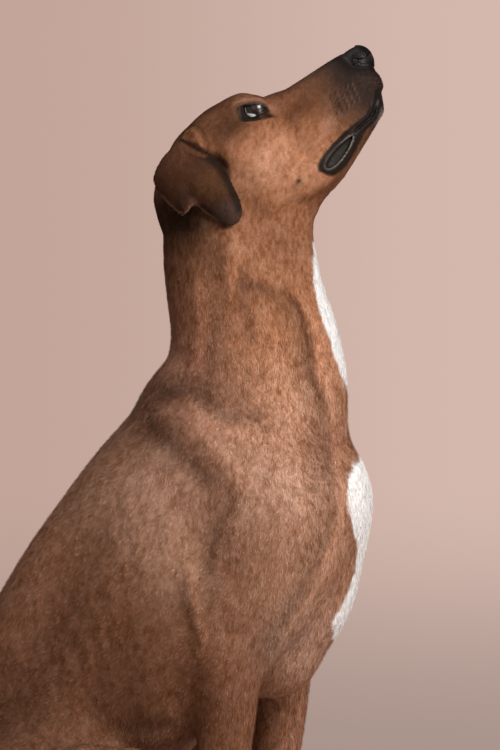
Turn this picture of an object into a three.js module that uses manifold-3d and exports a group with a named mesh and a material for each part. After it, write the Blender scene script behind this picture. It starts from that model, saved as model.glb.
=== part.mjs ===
// A short-coated dog sitting upright with its head raised, life size.
// Millimetres. +X is forward, +Y is the dog's left, +Z is up, and the floor is Z = 0.
// The flesh is one smooth field: rounded masses laid over a skeleton of named joints and blended together.
// The field is meshed region by region and parted by thin straight cuts into the named pieces of the body.
import * as THREE from "three";
import { mergeVertices } from "three/addons/utils/BufferGeometryUtils.js";
import Module from "manifold-3d";

const wasm = await Module();
wasm.setup();

// ---- driving dimensions ----
const GAP = 0.4; // clear space kept between neighbouring pieces
const HEAD_PITCH = THREE.MathUtils.degToRad(37); // the muzzle points this far above level
const SPINE_PITCH = 54; // degrees, slope of the back
const OCCIPUT = [31.5, 861]; // X and Z of the back corner of the skull, where the head's own frame starts
const LEG_SPREAD = 77; // half the distance between the forelegs at the elbow
const KNEE_SPREAD = 122; // half the distance between the knees
const STEP = { left: 127, right: 102 }; // X of each foreleg: the left stands a little ahead
const SIDES = { left: 1, right: -1 };

// ---- fields: each mass is a function of a point that is negative inside the flesh ----
const mix = (a, b, t) => a + (b - a) * t;
const smoothMin = (a, b, k) => Math.min(a, b) - Math.max(k - Math.abs(a - b), 0) ** 2 / (4 * k);
const smoothMax = (a, b, k) => -smoothMin(-a, -b, k);

// An ellipsoid with its first radius turned up from level by pitch degrees.
function lump(at, [rx, ry, rz], pitch = 0) {
  const c = Math.cos(THREE.MathUtils.degToRad(pitch));
  const s = Math.sin(THREE.MathUtils.degToRad(pitch));
  return (x, y, z) => {
    const dx = x - at[0];
    const dz = z - at[2];
    const u = (dx * c + dz * s) / rx;
    const v = (y - at[1]) / ry;
    const w = (dz * c - dx * s) / rz;
    const near = Math.sqrt(u * u + v * v + w * w);
    const slope = Math.sqrt((u / rx) ** 2 + (v / ry) ** 2 + (w / rz) ** 2);
    return slope < 1e-9 ? -Math.min(rx, ry, rz) : (near * (near - 1)) / slope;
  };
}

// A muscle of round section along a smooth line through [x, y, z, radius] stations, wide times as broad as it is deep.
function muscle(stations, wide = 1) {
  const even = Math.min(1, wide);
  const line = smoothLine(stations);
  const spans = line.slice(1).map((b, i) => {
    const a = line[i];
    const run = b.map((v, m) => v - a[m]);
    return { a, run, length2: run[0] ** 2 + run[1] ** 2 + run[2] ** 2 };
  });
  return (x, y, z) => {
    let best = 1e3;
    for (const { a, run, length2 } of spans) {
      const along = (x - a[0]) * run[0] + (y - a[1]) * run[1] + (z - a[2]) * run[2];
      const t = Math.min(1, Math.max(0, along / length2));
      const dx = x - a[0] - t * run[0];
      const dy = (y - a[1] - t * run[1]) / wide;
      const dz = z - a[2] - t * run[2];
      best = Math.min(best, Math.sqrt(dx * dx + dy * dy + dz * dz) - a[3] - t * run[3]);
    }
    return best * even;
  };
}

// Stations joined by cubic curves, each span cut in three.
function smoothLine(stations) {
  if (stations.length < 3) return stations;
  const last = stations.length - 1;
  const point = (i) => stations[Math.min(last, Math.max(0, i))];
  const line = [];
  for (let i = 0; i < last; i++)
    for (const t of [0, 1 / 3, 2 / 3])
      line.push([0, 1, 2, 3].map((m) => {
        const [p, q, r, s] = [point(i - 1)[m], point(i)[m], point(i + 1)[m], point(i + 2)[m]];
        return q + 0.5 * t * (r - p + t * (2 * p - 5 * q + 4 * r - s + t * (3 * (q - r) + s - p)));
      }));
  line.push(stations[last]);
  return line;
}

// Masses are gathered as [field, blend], in the order in which they are blended into what is already there.
const bodyMasses = [];
const headMasses = [];
const hollows = [];
const flesh = (blend, field) => bodyMasses.push([field, blend]);
const skull = (blend, field) => headMasses.push([field, blend]);
const hollow = (blend, field) => hollows.push([field, blend]);

// ---- trunk ----
flesh(1, lump([32, 0, 423], [187, 99, 125], SPINE_PITCH)); // rib cage
flesh(45, muscle([[40, 0, 352, 118], [-38, 0, 268, 114], [-112, 0, 190, 104], [-158, 0, 122, 92]], 0.84)); // belly
flesh(34, lump([145.5, 0, 462], [102, 78, 114], 0)); // breast
flesh(20, lump([138.5, 0, 397], [97.5, 68, 115], 0)); // breastbone
flesh(24, muscle([[138, 0, 345, 62], [138, 0, 302, 54]], 0.86)); // brisket
flesh(30, muscle([[36, 0, 567, 38], [-46, 0, 463, 40], [-94, 0, 398, 46],
  [-136, 0, 330, 46], [-180, 0, 240, 48]], 1.5)); // back
flesh(40, lump([-158, 0, 142], [84, 98, 104], 60)); // pelvis
flesh(24, lump([-184, 0, 66], [48, 52, 72], 0)); // seat

// ---- neck ----
flesh(36, muscle([[82, 0, 812, 63], [88.5, 0, 745, 73.7], [93.5, 0, 700, 75.5], [99.5, 0, 650, 76.5],
  [100, 0, 585, 84]], 0.83));
flesh(24, lump([47.5, 0, 801], [41, 34, 38], 0)); // nape
flesh(14, muscle([[130, 0, 800, 39], [150, 0, 745, 34.5], [161.5, 0, 700, 33], [178.5, 0, 650, 33.5],
  [188, 0, 600, 34], [189, 0, 545, 34]])); // throat

// ---- legs ----
for (const [name, side] of Object.entries(SIDES)) {
  const foot = STEP[name];
  flesh(28, muscle([[40, 32 * side, 566, 36], [110, 59 * side, 505, 56], [165, 71 * side, 446, 54]], 0.66)); // blade
  flesh(30, lump([172, 62 * side, 428], [44, 32, 54], 40)); // point of the shoulder
  flesh(34, muscle([[190, 32 * side, 462, 38], [158, 64 * side, 370, 40], [128, 76 * side, 312, 34]], 0.7)); // pectoral
  flesh(18, muscle([[140, 77 * side, 420, 62], [foot - 8, LEG_SPREAD * side + 3 * side, 318, 50]], 0.6)); // upper arm
  flesh(10, lump([foot - 28, 81 * side, 296], [24, 18, 22], 60)); // point of the elbow
  flesh(14, muscle([
    [foot, 79 * side, 292, 41], [foot, LEG_SPREAD * side, 240, 36], [foot - 2, 77 * side, 180, 29],
    [foot - 3, 72 * side, 120, 22.5], [foot - 3, 70 * side, 84, 23.5], [foot + 2, 69 * side, 50, 22]], 0.86)); // forearm
  flesh(10, lump([foot - 22, 72 * side, 78], [9, 9, 14], 70)); // pad behind the wrist
  flesh(50, muscle([[-152, 84 * side, 128, 80], [-70, 108 * side, 146, 56], [6, KNEE_SPREAD * side, 168, 35]], 0.62)); // thigh
  flesh(24, lump([-180, 44 * side, 62], [54, 50, 68], 0)); // buttock
  flesh(30, lump([12, 54 * side, 278], [70, 44, 82], 30)); // flank
  flesh(24, lump([56, 56 * side, 300], [42, 34, 66], 0)); // ribs behind the elbow
  flesh(9, muscle([[20, KNEE_SPREAD * side, 150, 31], [-44, 120 * side, 104, 37], [-100, 118 * side, 62, 28], [-140, 116 * side, 36, 21]], 0.8)); // shank
  flesh(8, muscle([[-146, 116 * side, 21, 22], [-90, 117 * side, 17, 18.5], [-36, 119 * side, 18, 19]], 0.95)); // hock and instep
}

// ---- tail: it leaves the croup, drops to the floor and curves to the right ----
const TAIL = [[-196, 0, 178, 44], [-230, 0, 126, 33], [-266, 0, 80, 26], [-304, -4, 42, 21], [-350, -18, 17, 17.5], [-405, -48, 13.5, 14.5],
  [-448, -92, 10.5, 11.5], [-470, -140, 7, 8]];
flesh(20, muscle(TAIL));

// ---- paws ----
const TOES = [-25, -9, 9, 25]; // sideways place of the toes
const TOE_REACH = [14, 24, 24, 14]; // how far each toe lies ahead of the paw's middle
const PAWS = Object.entries(SIDES).flatMap(([name, side]) => [
  { name: `fore_${name}`, x: STEP[name] + 24, y: 69 * side, turn: 4 * side, size: 1 },
  { name: `hind_${name}`, x: -8, y: 121 * side, turn: 9 * side, size: 0.93 },
]);
for (const paw of PAWS) {
  const a = THREE.MathUtils.degToRad(paw.turn);
  // A point of the paw, from its middle on the floor.
  paw.at = (x, y, z) => [
    paw.x + (x * Math.cos(a) - y * Math.sin(a)) * paw.size,
    paw.y + (x * Math.sin(a) + y * Math.cos(a)) * paw.size,
    z * paw.size - 1.3,
  ];
  flesh(10, muscle([[...paw.at(-30, 0, 26), 21 * paw.size], [...paw.at(2, 0, 22), 23 * paw.size]], 1.2)); // instep
  TOES.forEach((y, i) => {
    const x = TOE_REACH[i];
    flesh(4, muscle([[...paw.at(x - 20, y * 0.8, 23), 12 * paw.size], [...paw.at(x, y, 22), 12.5 * paw.size],
      [...paw.at(x + 17, y * 1.04, 11), 11.5 * paw.size]], 0.86));
  });
}

// ---- head, in its own frame: X along the muzzle from the occiput, Z square to it ----
for (const side of [1, -1]) {
  skull(1, lump([46, 0, -41], [60, 50, 50])); // brain case
  skull(16, lump([82, 21 * side, -18], [22, 20, 17], -18)); // brow
  skull(16, lump([34, 30 * side, -32], [38, 24, 32], 0)); // temple
  skull(16, muscle([[98, 36 * side, -46, 12], [52, 51 * side, -58, 14]])); // cheek bone
  skull(22, lump([58, 33 * side, -84], [42, 24, 44], -10)); // jaw muscle
}
skull(18, lump([6, 0, -16], [18, 16, 16])); // occiput
skull(10, lump([108, 0, -41], [18, 12, 19.5], 0)); // root of the bridge
skull(14, muscle([[104, 0, -48, 24.3], [150, 0, -48.5, 20.4], [186, 0, -50, 19], [204, 0, -50.5, 17.2]])); // bridge
for (const side of [1, -1]) {
  skull(14, muscle([[106, 14 * side, -80, 27], [160, 11 * side, -83, 26], [200.5, 7.5 * side, -77, 21.8]], 0.82)); // lips
  skull(14, muscle([[54, 34 * side, -112, 24], [104, 24 * side, -125, 19], [150, 13 * side, -117.5, 13.3],
    [196, 6 * side, -102.5, 8.5]], 0.9)); // jaw bone
  skull(12, lump([14, 44 * side, -36], [20, 15, 22], 0)); // root of the ear
}
skull(14, muscle([[30, 0, -132, 36], [95, 0, -130, 19], [150, 0, -117.5, 12.3], [194, 0, -103.5, 8.5]])); // floor of the mouth
skull(5, lump([214, 0, -52.5], [18, 17, 19.5], -30)); // nose

// The brow's stop and the eye sockets are pressed in.
const EYE = { x: 94, y: 26.8, z: -25.8, radius: 12.5 };
for (const side of [1, -1]) {
  hollow(10, lump([106, 44 * side, -32], [15, 12, 11], -40));
}

// The whole flesh. A point is handed to the head's masses in the head's own frame.
const HC = Math.cos(HEAD_PITCH);
const HS = Math.sin(HEAD_PITCH);
const toHead = (x, z) => [(x - OCCIPUT[0]) * HC + (z - OCCIPUT[1]) * HS, (z - OCCIPUT[1]) * HC - (x - OCCIPUT[0]) * HS];
const fromHead = ([x, y, z]) => new THREE.Vector3(OCCIPUT[0] + x * HC - z * HS, y, OCCIPUT[1] + x * HS + z * HC);
function dog(x, y, z) {
  const [hx, hz] = toHead(x, z);
  const body = bodyMasses.reduce((d, [mass, k]) => smoothMin(d, mass(x, y, z), k), 1e3);
  const head = headMasses.reduce((d, [mass, k]) => smoothMin(d, mass(hx, y, hz), k), 1e3);
  return hollows.reduce((d, [mass, k]) => smoothMax(d, -mass(hx, y, hz), k), smoothMin(body, head, 22));
}

// ---- from a field to a closed solid ----
// One vertex in each grid cell that the surface crosses, moved onto the surface, and a quad across each crossed edge.
function meshField(field, box, step) {
  const n = [0, 1, 2].map((i) => Math.ceil((box.max.getComponent(i) - box.min.getComponent(i)) / step) + 1);
  const place = (i, a) => box.min.getComponent(a) + i * step;
  const index = (i, j, k) => (k * n[1] + j) * n[0] + i;
  const value = new Float64Array(n[0] * n[1] * n[2]);
  const outside = (i, a) => i === 0 || i === n[a] - 1;
  for (let k = 0; k < n[2]; k++)
    for (let j = 0; j < n[1]; j++)
      for (let i = 0; i < n[0]; i++) {
        const edge = outside(i, 0) || outside(j, 1) || outside(k, 2);
        value[index(i, j, k)] = edge ? step : field(place(i, 0), place(j, 1), place(k, 2)) || 1e-6;
      }
  const vertexOf = new Map();
  const positions = [];
  const corners = [0, 1, 2, 3, 4, 5, 6, 7].map((c) => [c & 1, (c >> 1) & 1, c >> 2]);
  const vertex = (i, j, k) => {
    const key = index(i, j, k);
    if (vertexOf.has(key)) return vertexOf.get(key);
    const sum = new THREE.Vector3();
    let crossings = 0;
    for (const a of corners)
      for (let axis = 0; axis < 3; axis++) {
        if (a[axis]) continue;
        const b = a.map((v, m) => (m === axis ? 1 : v));
        const va = value[index(i + a[0], j + a[1], k + a[2])];
        const vb = value[index(i + b[0], j + b[1], k + b[2])];
        if (va < 0 === vb < 0) continue;
        const t = va / (va - vb);
        sum.add(new THREE.Vector3(...[i, j, k].map((v, m) => place(v + a[m] + (m === axis ? t : 0), m))));
        crossings += 1;
      }
    const p = sum.divideScalar(crossings);
    const inner = [i, j, k].every((v, m) => v > 0 && v < n[m] - 2);
    for (let pass = 0; inner && pass < 2; pass++) {
      const f = field(p.x, p.y, p.z);
      const e = 0.5;
      const slope = new THREE.Vector3(field(p.x + e, p.y, p.z) - f, field(p.x, p.y + e, p.z) - f,
        field(p.x, p.y, p.z + e) - f).divideScalar(e);
      p.addScaledVector(slope, THREE.MathUtils.clamp(-f / Math.max(slope.lengthSq(), 0.1), -step / 3, step / 3));
    }
    positions.push(p);
    vertexOf.set(key, positions.length - 1);
    return positions.length - 1;
  };
  const faces = [];
  for (let k = 0; k < n[2]; k++)
    for (let j = 0; j < n[1]; j++)
      for (let i = 0; i < n[0]; i++)
        for (let axis = 0; axis < 3; axis++) {
          const at = [i, j, k];
          if (at[axis] >= n[axis] - 1) continue;
          const next = at.map((v, m) => v + (m === axis ? 1 : 0));
          const here = value[index(...at)];
          if (here < 0 === value[index(...next)] < 0) continue;
          const u = (axis + 1) % 3;
          const w = (axis + 2) % 3;
          const ring = [[-1, -1], [0, -1], [0, 0], [-1, 0]].map(([du, dw]) => {
            const cell = [...at];
            cell[u] += du;
            cell[w] += dw;
            return vertex(...cell);
          });
          if (here > 0) ring.reverse();
          const [a, b, c, d] = ring;
          const short = positions[a].distanceTo(positions[c]) < positions[b].distanceTo(positions[d]);
          faces.push(...(short ? [a, b, c, a, c, d] : [a, b, d, b, c, d]));
        }
  return solid(positions, faces);
}

// A manifold solid from points and triangles.
function solid(points, faces) {
  const vertProperties = new Float32Array(points.flatMap((p) => [p.x, p.y, p.z]));
  return new wasm.Manifold(new wasm.Mesh({ numProp: 3, vertProperties, triVerts: new Uint32Array(faces) }));
}

// A manifold solid from a three.js geometry.
function solidOf(geometry) {
  const bare = (geometry.index ? geometry.toNonIndexed() : geometry).clone();
  for (const name of Object.keys(bare.attributes)) if (name !== "position") bare.deleteAttribute(name);
  const merged = mergeVertices(bare, 1e-4);
  const mesh = new wasm.Mesh({
    numProp: 3, vertProperties: new Float32Array(merged.attributes.position.array),
    triVerts: new Uint32Array(merged.index.array),
  });
  return new wasm.Manifold(mesh);
}

// A prism whose outline is drawn in the side view, [x, z] by [x, z], and which spans y0 to y1.
function sidePrism(outline, y0, y1, inHead = false) {
  const shape = new THREE.Shape(outline.map(([x, z]) => new THREE.Vector2(x, z)));
  const geometry = new THREE.ExtrudeGeometry(shape, { depth: y1 - y0, bevelEnabled: false });
  geometry.rotateX(Math.PI / 2).translate(0, y1, 0); // the drawing's upward axis becomes +Z
  if (inHead) geometry.rotateY(-HEAD_PITCH).translate(OCCIPUT[0], 0, OCCIPUT[1]);
  return solidOf(geometry);
}

// A closed tube along a smooth curve through the points, with a radius for each share of its length.
function tube(points, radius, rows, sides, flat = 1) {
  const curve = new THREE.CatmullRomCurve3(points);
  const frames = curve.computeFrenetFrames(rows);
  const rings = [];
  for (let r = 0; r <= rows; r++)
    for (let s = 0; s < sides; s++) {
      const a = (2 * Math.PI * s) / sides;
      rings.push(curve.getPointAt(r / rows)
        .addScaledVector(frames.normals[r], Math.cos(a) * radius(r / rows) * flat)
        .addScaledVector(frames.binormals[r], Math.sin(a) * radius(r / rows)));
    }
  const faces = [];
  for (let r = 0; r < rows; r++)
    for (let s = 0; s < sides; s++) {
      const [a, b] = [r * sides + s, r * sides + ((s + 1) % sides)];
      faces.push(a, b, b + sides, a, b + sides, a + sides);
    }
  rings.push(curve.getPointAt(0), curve.getPointAt(1));
  const [first, last] = [rings.length - 2, rings.length - 1];
  for (let s = 0; s < sides; s++) {
    const t = (s + 1) % sides;
    faces.push(first, t, s, last, rows * sides + s, rows * sides + t);
  }
  return solid(rings, faces);
}

// The closed surface that holds most: what a cut leaves loose is dropped.
function largest(made) {
  return made.decompose().sort((a, b) => b.volume() - a.volume())[0];
}

// A mesh with its short edges closed up. A point on a crease slides only along it, and a corner stays.
function tidied(points, faces, short) {
  const at = points.map((p) => p.clone());
  const around = at.map(() => new Set());
  const tris = faces.map((f) => [...f]);
  tris.forEach((f, i) => f.forEach((v) => around[v].add(i)));
  const normal = (f) => new THREE.Vector3().crossVectors(at[f[1]].clone().sub(at[f[0]]), at[f[2]].clone().sub(at[f[0]]));
  const ring = (v) => {
    const seen = new Set();
    for (const i of around[v]) for (const w of tris[i]) if (w !== v) seen.add(w);
    return seen;
  };
  const sharp = (a, b) => {
    const [f, g] = [...around[a]].filter((i) => around[b].has(i)).map((i) => normal(tris[i]));
    if (!g) return true;
    const lengths = f.length() * g.length();
    return lengths < 1e-7 ? false : f.dot(g) / lengths < 0.85;
  };
  // Whether point a may close up onto point b.
  const allowed = (a, b) => {
    const [ra, rb] = [ring(a), ring(b)];
    if ([...ra].filter((v) => rb.has(v)).length !== 2) return false;
    const creases = [...ra].filter((v) => sharp(a, v));
    if (creases.length > 0) {
      if (creases.length !== 2 || !creases.includes(b)) return false;
      const other = at[creases.find((v) => v !== b)];
      const line = new THREE.Line3(other, at[b]);
      if (line.closestPointToPoint(at[a], true, new THREE.Vector3()).distanceTo(at[a]) > 0.12) return false;
    }
    for (const i of around[a]) {
      if (around[b].has(i)) continue;
      const before = normal(tris[i]);
      const after = normal(tris[i].map((v) => (v === a ? b : v)));
      if (after.length() < 1e-3) return false;
      if (before.length() > 1e-3 && before.dot(after) / (before.length() * after.length()) < 0.9) return false;
    }
    return true;
  };
  for (let pass = 0; pass < 6; pass++) {
    let closed = 0;
    for (let a = 0; a < at.length; a++) {
      if (!around[a].size) continue;
      const near = [...ring(a)].map((b) => [at[a].distanceTo(at[b]), b]).filter(([d]) => d < short).sort((p, q) => p[0] - q[0]);
      const target = near.find(([, b]) => allowed(a, b));
      if (!target) continue;
      for (const i of around[a]) {
        if (tris[i].includes(target[1])) {
          for (const v of tris[i]) if (v !== a) around[v].delete(i);
          tris[i] = null;
        } else {
          tris[i] = tris[i].map((v) => (v === a ? target[1] : v));
          around[target[1]].add(i);
        }
      }
      around[a].clear();
      closed += 1;
    }
    if (!closed) break;
  }
  // Where two folds of the surface pinch at one place, each point draws back a little into its own flesh.
  const places = new Map();
  at.forEach((p, v) => {
    if (!around[v].size) return;
    const key = p.toArray().map((c) => Math.round(c * 200)).join();
    places.set(key, [...(places.get(key) ?? []), v]);
  });
  for (const group of places.values())
    if (group.length > 1) {
      const moves = group.map((v) => [...around[v]].reduce((sum, i) => sum.add(normal(tris[i])), new THREE.Vector3()).setLength(-0.04));
      group.forEach((v, k) => at[v].add(moves[k]));
    }
  const kept = new Map();
  const outFaces = tris.filter(Boolean).flat().map((v) => {
    if (!kept.has(v)) kept.set(v, kept.size);
    return kept.get(v);
  });
  return [[...kept.keys()].map((v) => at[v]), outFaces];
}

// ---- materials ----
const paint = (color, roughness) => new THREE.MeshStandardMaterial({ color, roughness, metalness: 0 });
const COAT = paint(0x8a5636, 0.75);
const DARK_COAT = paint(0x5a361f, 0.75);
const LEATHER = paint(0x1c1917, 0.35);
const EYE_WET = paint(0x2a1609, 0.08);
const CLAW = paint(0x2b221d, 0.45);

const model = new THREE.Group();
function add(name, manifold, material, short = 0.5) {
  const { vertProperties, triVerts } = largest(manifold).getMesh();
  const corners = [];
  for (let i = 0; i < vertProperties.length; i += 3) corners.push(new THREE.Vector3().fromArray(vertProperties, i));
  const triangles = [];
  for (let i = 0; i < triVerts.length; i += 3) triangles.push([...triVerts.slice(i, i + 3)]);
  const [points, faces] = tidied(corners, triangles, short);
  const geometry = new THREE.BufferGeometry().setFromPoints(points).setIndex(faces);
  const mesh = new THREE.Mesh(geometry, material);
  mesh.name = name;
  model.add(mesh);
}

// ---- where the body is parted: convex outlines in the side view, clockwise ----
const WIDE = 200; // wider than any part of the dog
const TALL = 1100;
const NAPE = [-150, 880.7]; // the head is parted from the neck by a line that falls forwards
const THROAT = [420, 658];
const WITHERS = [-40, 628];
const NECK_FRONT = [270, 536];
const LAST_RIB = [[-215, 355], [40, 170]];
const CROUP = [[-262, 215], [-40, 62]];
const UNDER = -6; // just below the floor, where the outlines are then cut level
const TAIL_ROOT = [[-250, 230], [-264, UNDER]];
const TRUNK = {
  head: [NAPE, [-150, TALL], [420, TALL], THROAT],
  neck: [WITHERS, NAPE, THROAT, NECK_FRONT],
  chest: [WITHERS, NECK_FRONT, [320, 300], [200, 120], LAST_RIB[1], LAST_RIB[0]],
  loin: [LAST_RIB[0], LAST_RIB[1], [60, 100], CROUP[1], CROUP[0]],
  rump: [CROUP[0], CROUP[1], [-40, UNDER], [-300, UNDER], [-300, 215]],
  tail: [TAIL_ROOT[1], [-560, UNDER], [-560, 230], TAIL_ROOT[0]],
};
const ELBOW = 222; // height of the cut below the elbow
const KNEE_FOLD = [[95, 177.5], [-200, 30]]; // the crease between thigh and shank
const HEEL = [[95, 66], [-200, 28]]; // the cut between shank and hind foot
// Each piece of a leg: its outline, and how far from the middle of the dog its inner side lies.
const LIMB = {
  foreleg_upper: [[[-5, 520], [60, 575], [120, 560], [235, 470], [235, 380], [185, ELBOW], [40, ELBOW], [10, 330]], 60],
  foreleg_lower: [[[50, ELBOW], [190, ELBOW], [190, 62], [50, 62]], 30],
  forepaw: [[[50, 62], [230, 62], [230, UNDER], [50, UNDER]], 20],
  hindleg_thigh: [[[-240, 140], [-205, 235], [-130, 280], [-60, 270], [30, 222], [62, 180], [62, 161], [-190, 35],
    [-240, 42]], 76],
  hindleg_shank: [[KNEE_FOLD[0], HEEL[0], HEEL[1], KNEE_FOLD[1]], 88],
  hindfoot: [[HEEL[1], HEEL[0], [95, UNDER], [-200, UNDER]], 88],
};
const NOSE = [[202, -20], [245, -20], [240, -73], [214, -68], [203, -46]];
// The line of the mouth from its front to its corner, in the head's frame.
const MOUTH = [[260, -93.7], [214.5, -93.7], [210, -97.2], [206, -100.8], [201, -105.1], [195, -109.2],
  [189, -111.3], [181, -112.2], [172, -112.8], [162, -114.6], [142, -121], [121, -130]];

// A convex outline with every side moved outwards.
function grown(outline, by) {
  const turn = THREE.ShapeUtils.area(outline.map(([x, z]) => new THREE.Vector2(x, z))) > 0 ? 1 : -1;
  const sides = outline.map((a, i) => {
    const b = outline[(i + 1) % outline.length];
    const length = Math.hypot(b[0] - a[0], b[1] - a[1]);
    const normal = [((b[1] - a[1]) * turn) / length, (-(b[0] - a[0]) * turn) / length];
    return { normal, reach: normal[0] * a[0] + normal[1] * a[1] + by };
  });
  return sides.map((b, i) => {
    const a = sides[(i + sides.length - 1) % sides.length];
    const det = a.normal[0] * b.normal[1] - a.normal[1] * b.normal[0];
    return [(a.reach * b.normal[1] - b.reach * a.normal[1]) / det, (a.normal[0] * b.reach - b.normal[0] * a.reach) / det];
  });
}
// Nothing goes below the floor.
const onFloor = (outline) => outline.map(([x, z]) => [x, Math.max(z, 0)]);
const slab = (outline, by) => sidePrism(onFloor(grown(outline, by)), -WIDE, WIDE);
const limb = ([outline, inner], side, by) =>
  sidePrism(onFloor(grown(outline, by)), side > 0 ? inner - by : -WIDE, side > 0 ? WIDE : by - inner);
const boxOf = (outline, y0, y1, margin) => new THREE.Box3(
  new THREE.Vector3(Math.min(...outline.map((p) => p[0])) - margin, y0, Math.min(...outline.map((p) => p[1])) - margin),
  new THREE.Vector3(Math.max(...outline.map((p) => p[0])) + margin, y1, Math.max(...outline.map((p) => p[1])) + margin));

// ---- legs ----
const STEP_OF = { foreleg_upper: 25, foreleg_lower: 15.5, forepaw: 9, hindleg_thigh: 24, hindleg_shank: 16.5, hindfoot: 10.4 };
const SHORT = 0.42; // edges under this share of the grid step are closed up
// The flesh of one piece of a leg before it is parted, grown outwards by so much.
function legFlesh(piece, side, by) {
  const step = STEP_OF[piece];
  const [outline, inner] = LIMB[piece];
  const [near, far] = [inner - 2 * step, 176];
  const box = boxOf(outline, side > 0 ? near : -far, side > 0 ? far : -near, 2.37 * step);
  return meshField((x, y, z) => dog(x, y, z) - by, box, step);
}
for (const [name, side] of Object.entries(SIDES))
  for (const [piece, cut] of Object.entries(LIMB))
    add(`${piece}_${name}`, legFlesh(piece, side, 0).intersect(limb(cut, side, -GAP / 2)), COAT, STEP_OF[piece] * SHORT);

// ---- trunk, neck and tail ----
const limbs = Object.values(LIMB).flatMap((cut) => [limb(cut, 1, GAP / 2), limb(cut, -1, GAP / 2)]);
const without = (body, cutters) => cutters.reduce((left, cutter) => left.subtract(cutter), body);
const tailSlab = slab(TRUNK.tail, GAP / 2);
for (const [name, step] of [["neck", 19.4], ["chest", 26.7], ["loin", 27], ["rump", 26], ["tail", 11.7]]) {
  const wide = name === "tail" ? 176 : 170;
  const box = boxOf(TRUNK[name], -wide, wide, 2.37 * step);
  const whole = meshField(dog, box, step).intersect(slab(TRUNK[name], -GAP / 2));
  add(name, name === "tail" ? whole : without(whole, [...limbs, tailSlab]), COAT, step * SHORT);
}

// ---- head ----
const HEAD_BOX = new THREE.Box3(new THREE.Vector3(-30, -88, 735), new THREE.Vector3(278, 88, 998));
const head0 = meshField(dog, HEAD_BOX, 11.6);

// The point where a straight line from outside first meets the skin; both ends are in the head's frame.
function onSkin(from, to) {
  const [a, b] = [fromHead(from), fromHead(to)];
  const at = (t) => a.clone().lerp(b, t);
  let t = 0;
  while (t < 1 && dog(...at(t).toArray()) > 0) t += 0.01;
  let [lo, hi] = [t - 0.01, t];
  for (let i = 0; i < 12; i++) {
    const mid = (lo + hi) / 2;
    if (dog(...at(mid).toArray()) > 0) lo = mid;
    else hi = mid;
  }
  return at(hi);
}
// The line of the mouth on the skin, from the right corner round the front to the left corner, moved up by lift.
function lipLine(lift) {
  const half = (side) => {
    const front = [0, 22, 44, 66, 86].map((degrees) => {
      const a = THREE.MathUtils.degToRad(degrees);
      const z = -94.5 - 16 * (1 - Math.cos(a)) ** 1.2 + lift;
      return onSkin([190 + 50 * Math.cos(a), 50 * Math.sin(a) * side, z], [190, 0, z]);
    });
    const back = [[186, -111.7], [174, -112.6], [162, -114.6], [153, -117.3]].map(([x, z]) =>
      onSkin([x, 60 * side, z + lift], [x, 0, z + lift]));
    return [...front, ...back];
  };
  return [...half(-1).slice(1).reverse(), ...half(1)];
}
// The rim of the open fold at the corner of the mouth, where the lower lip hangs.
const POCKET = { x: 142.4, z: -122.6, long: 22, deep: 7.4, pitch: 16.6 };
function pocketRim(side, scale) {
  const turn = THREE.MathUtils.degToRad(POCKET.pitch);
  return Array.from({ length: 14 }, (_, i) => {
    const a = (2 * Math.PI * i) / 14;
    const [u, v] = [POCKET.long * scale * Math.cos(a), POCKET.deep * scale * Math.sin(a)];
    const [x, z] = [POCKET.x + u * Math.cos(turn) - v * Math.sin(turn), POCKET.z + u * Math.sin(turn) + v * Math.cos(turn)];
    return onSkin([x, 70 * side, z], [x, 0, z]);
  });
}
const roll = (points, radius, rows, sides) => tube(points, (t) => radius * Math.min(1, 0.45 + 6 * Math.min(t, 1 - t)), rows, sides);
const upperRoll = roll(lipLine(2.7), 2.9, 18, 5);
const lowerRoll = roll(lipLine(-3), 2.7, 18, 5);
const corner = MOUTH.at(-1);
const jawOutline = (lower, forward) => [...MOUTH.map(([x, z]) => [x, z - lower]), [corner[0] + forward, corner[1] - lower],
  [108 + forward, -165], [108 + forward, -215], [260, -215]];
const jawRoom = sidePrism(jawOutline(0, 0), -WIDE, WIDE, true);
const jawPrism = sidePrism(jawOutline(GAP, GAP), -WIDE, WIDE, true);
const nosePrism = sidePrism(grown(NOSE, -GAP / 2), -WIDE, WIDE, true);
const noseRoom = sidePrism(grown(NOSE, GAP / 2), -WIDE, WIDE, true);

const ball = (at, radius, rings) =>
  solidOf(new THREE.SphereGeometry(radius, rings * 2, rings)).translate(at.toArray());
// The opening between the lids: a cone from the middle of the eyeball through an almond.
function almond(side, size) {
  const out = new THREE.Vector3(0.5, 0.866, 0.03).normalize();
  const along = new THREE.Vector3(0.66, -0.38, -0.67).projectOnPlane(out).normalize();
  const across = new THREE.Vector3().crossVectors(along, out).normalize();
  if (across.z < 0) across.negate();
  const ring = Array.from({ length: 14 }, (_, i) => {
    const a = (2 * Math.PI * i) / 14;
    const lift = Math.sin(a) > 0 ? 0.5 : 0.46; // the upper lid is arched more
    const v = new THREE.Vector3().copy(out)
      .addScaledVector(along, 1.18 * size * Math.cos(a))
      .addScaledVector(across, lift * size * Math.sign(Math.sin(a)) * Math.abs(Math.sin(a)) ** 1.15);
    return v.multiplyScalar(26);
  });
  const middle = new THREE.Vector3(EYE.x, EYE.y, EYE.z);
  const points = [new THREE.Vector3(), ...ring, out.clone().multiplyScalar(30)].map((v) => v.add(middle))
    .map((v) => fromHead([v.x, v.y * side, v.z]));
  const faces = [];
  for (let i = 0; i < 14; i++) {
    const [a, b] = [1 + i, 1 + ((i + 1) % 14)];
    faces.push(0, b, a, 15, a, b);
  }
  const cone = solid(points, faces);
  return cone.volume() > 0 ? cone : solid(points, faces.toReversed());
}

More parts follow.
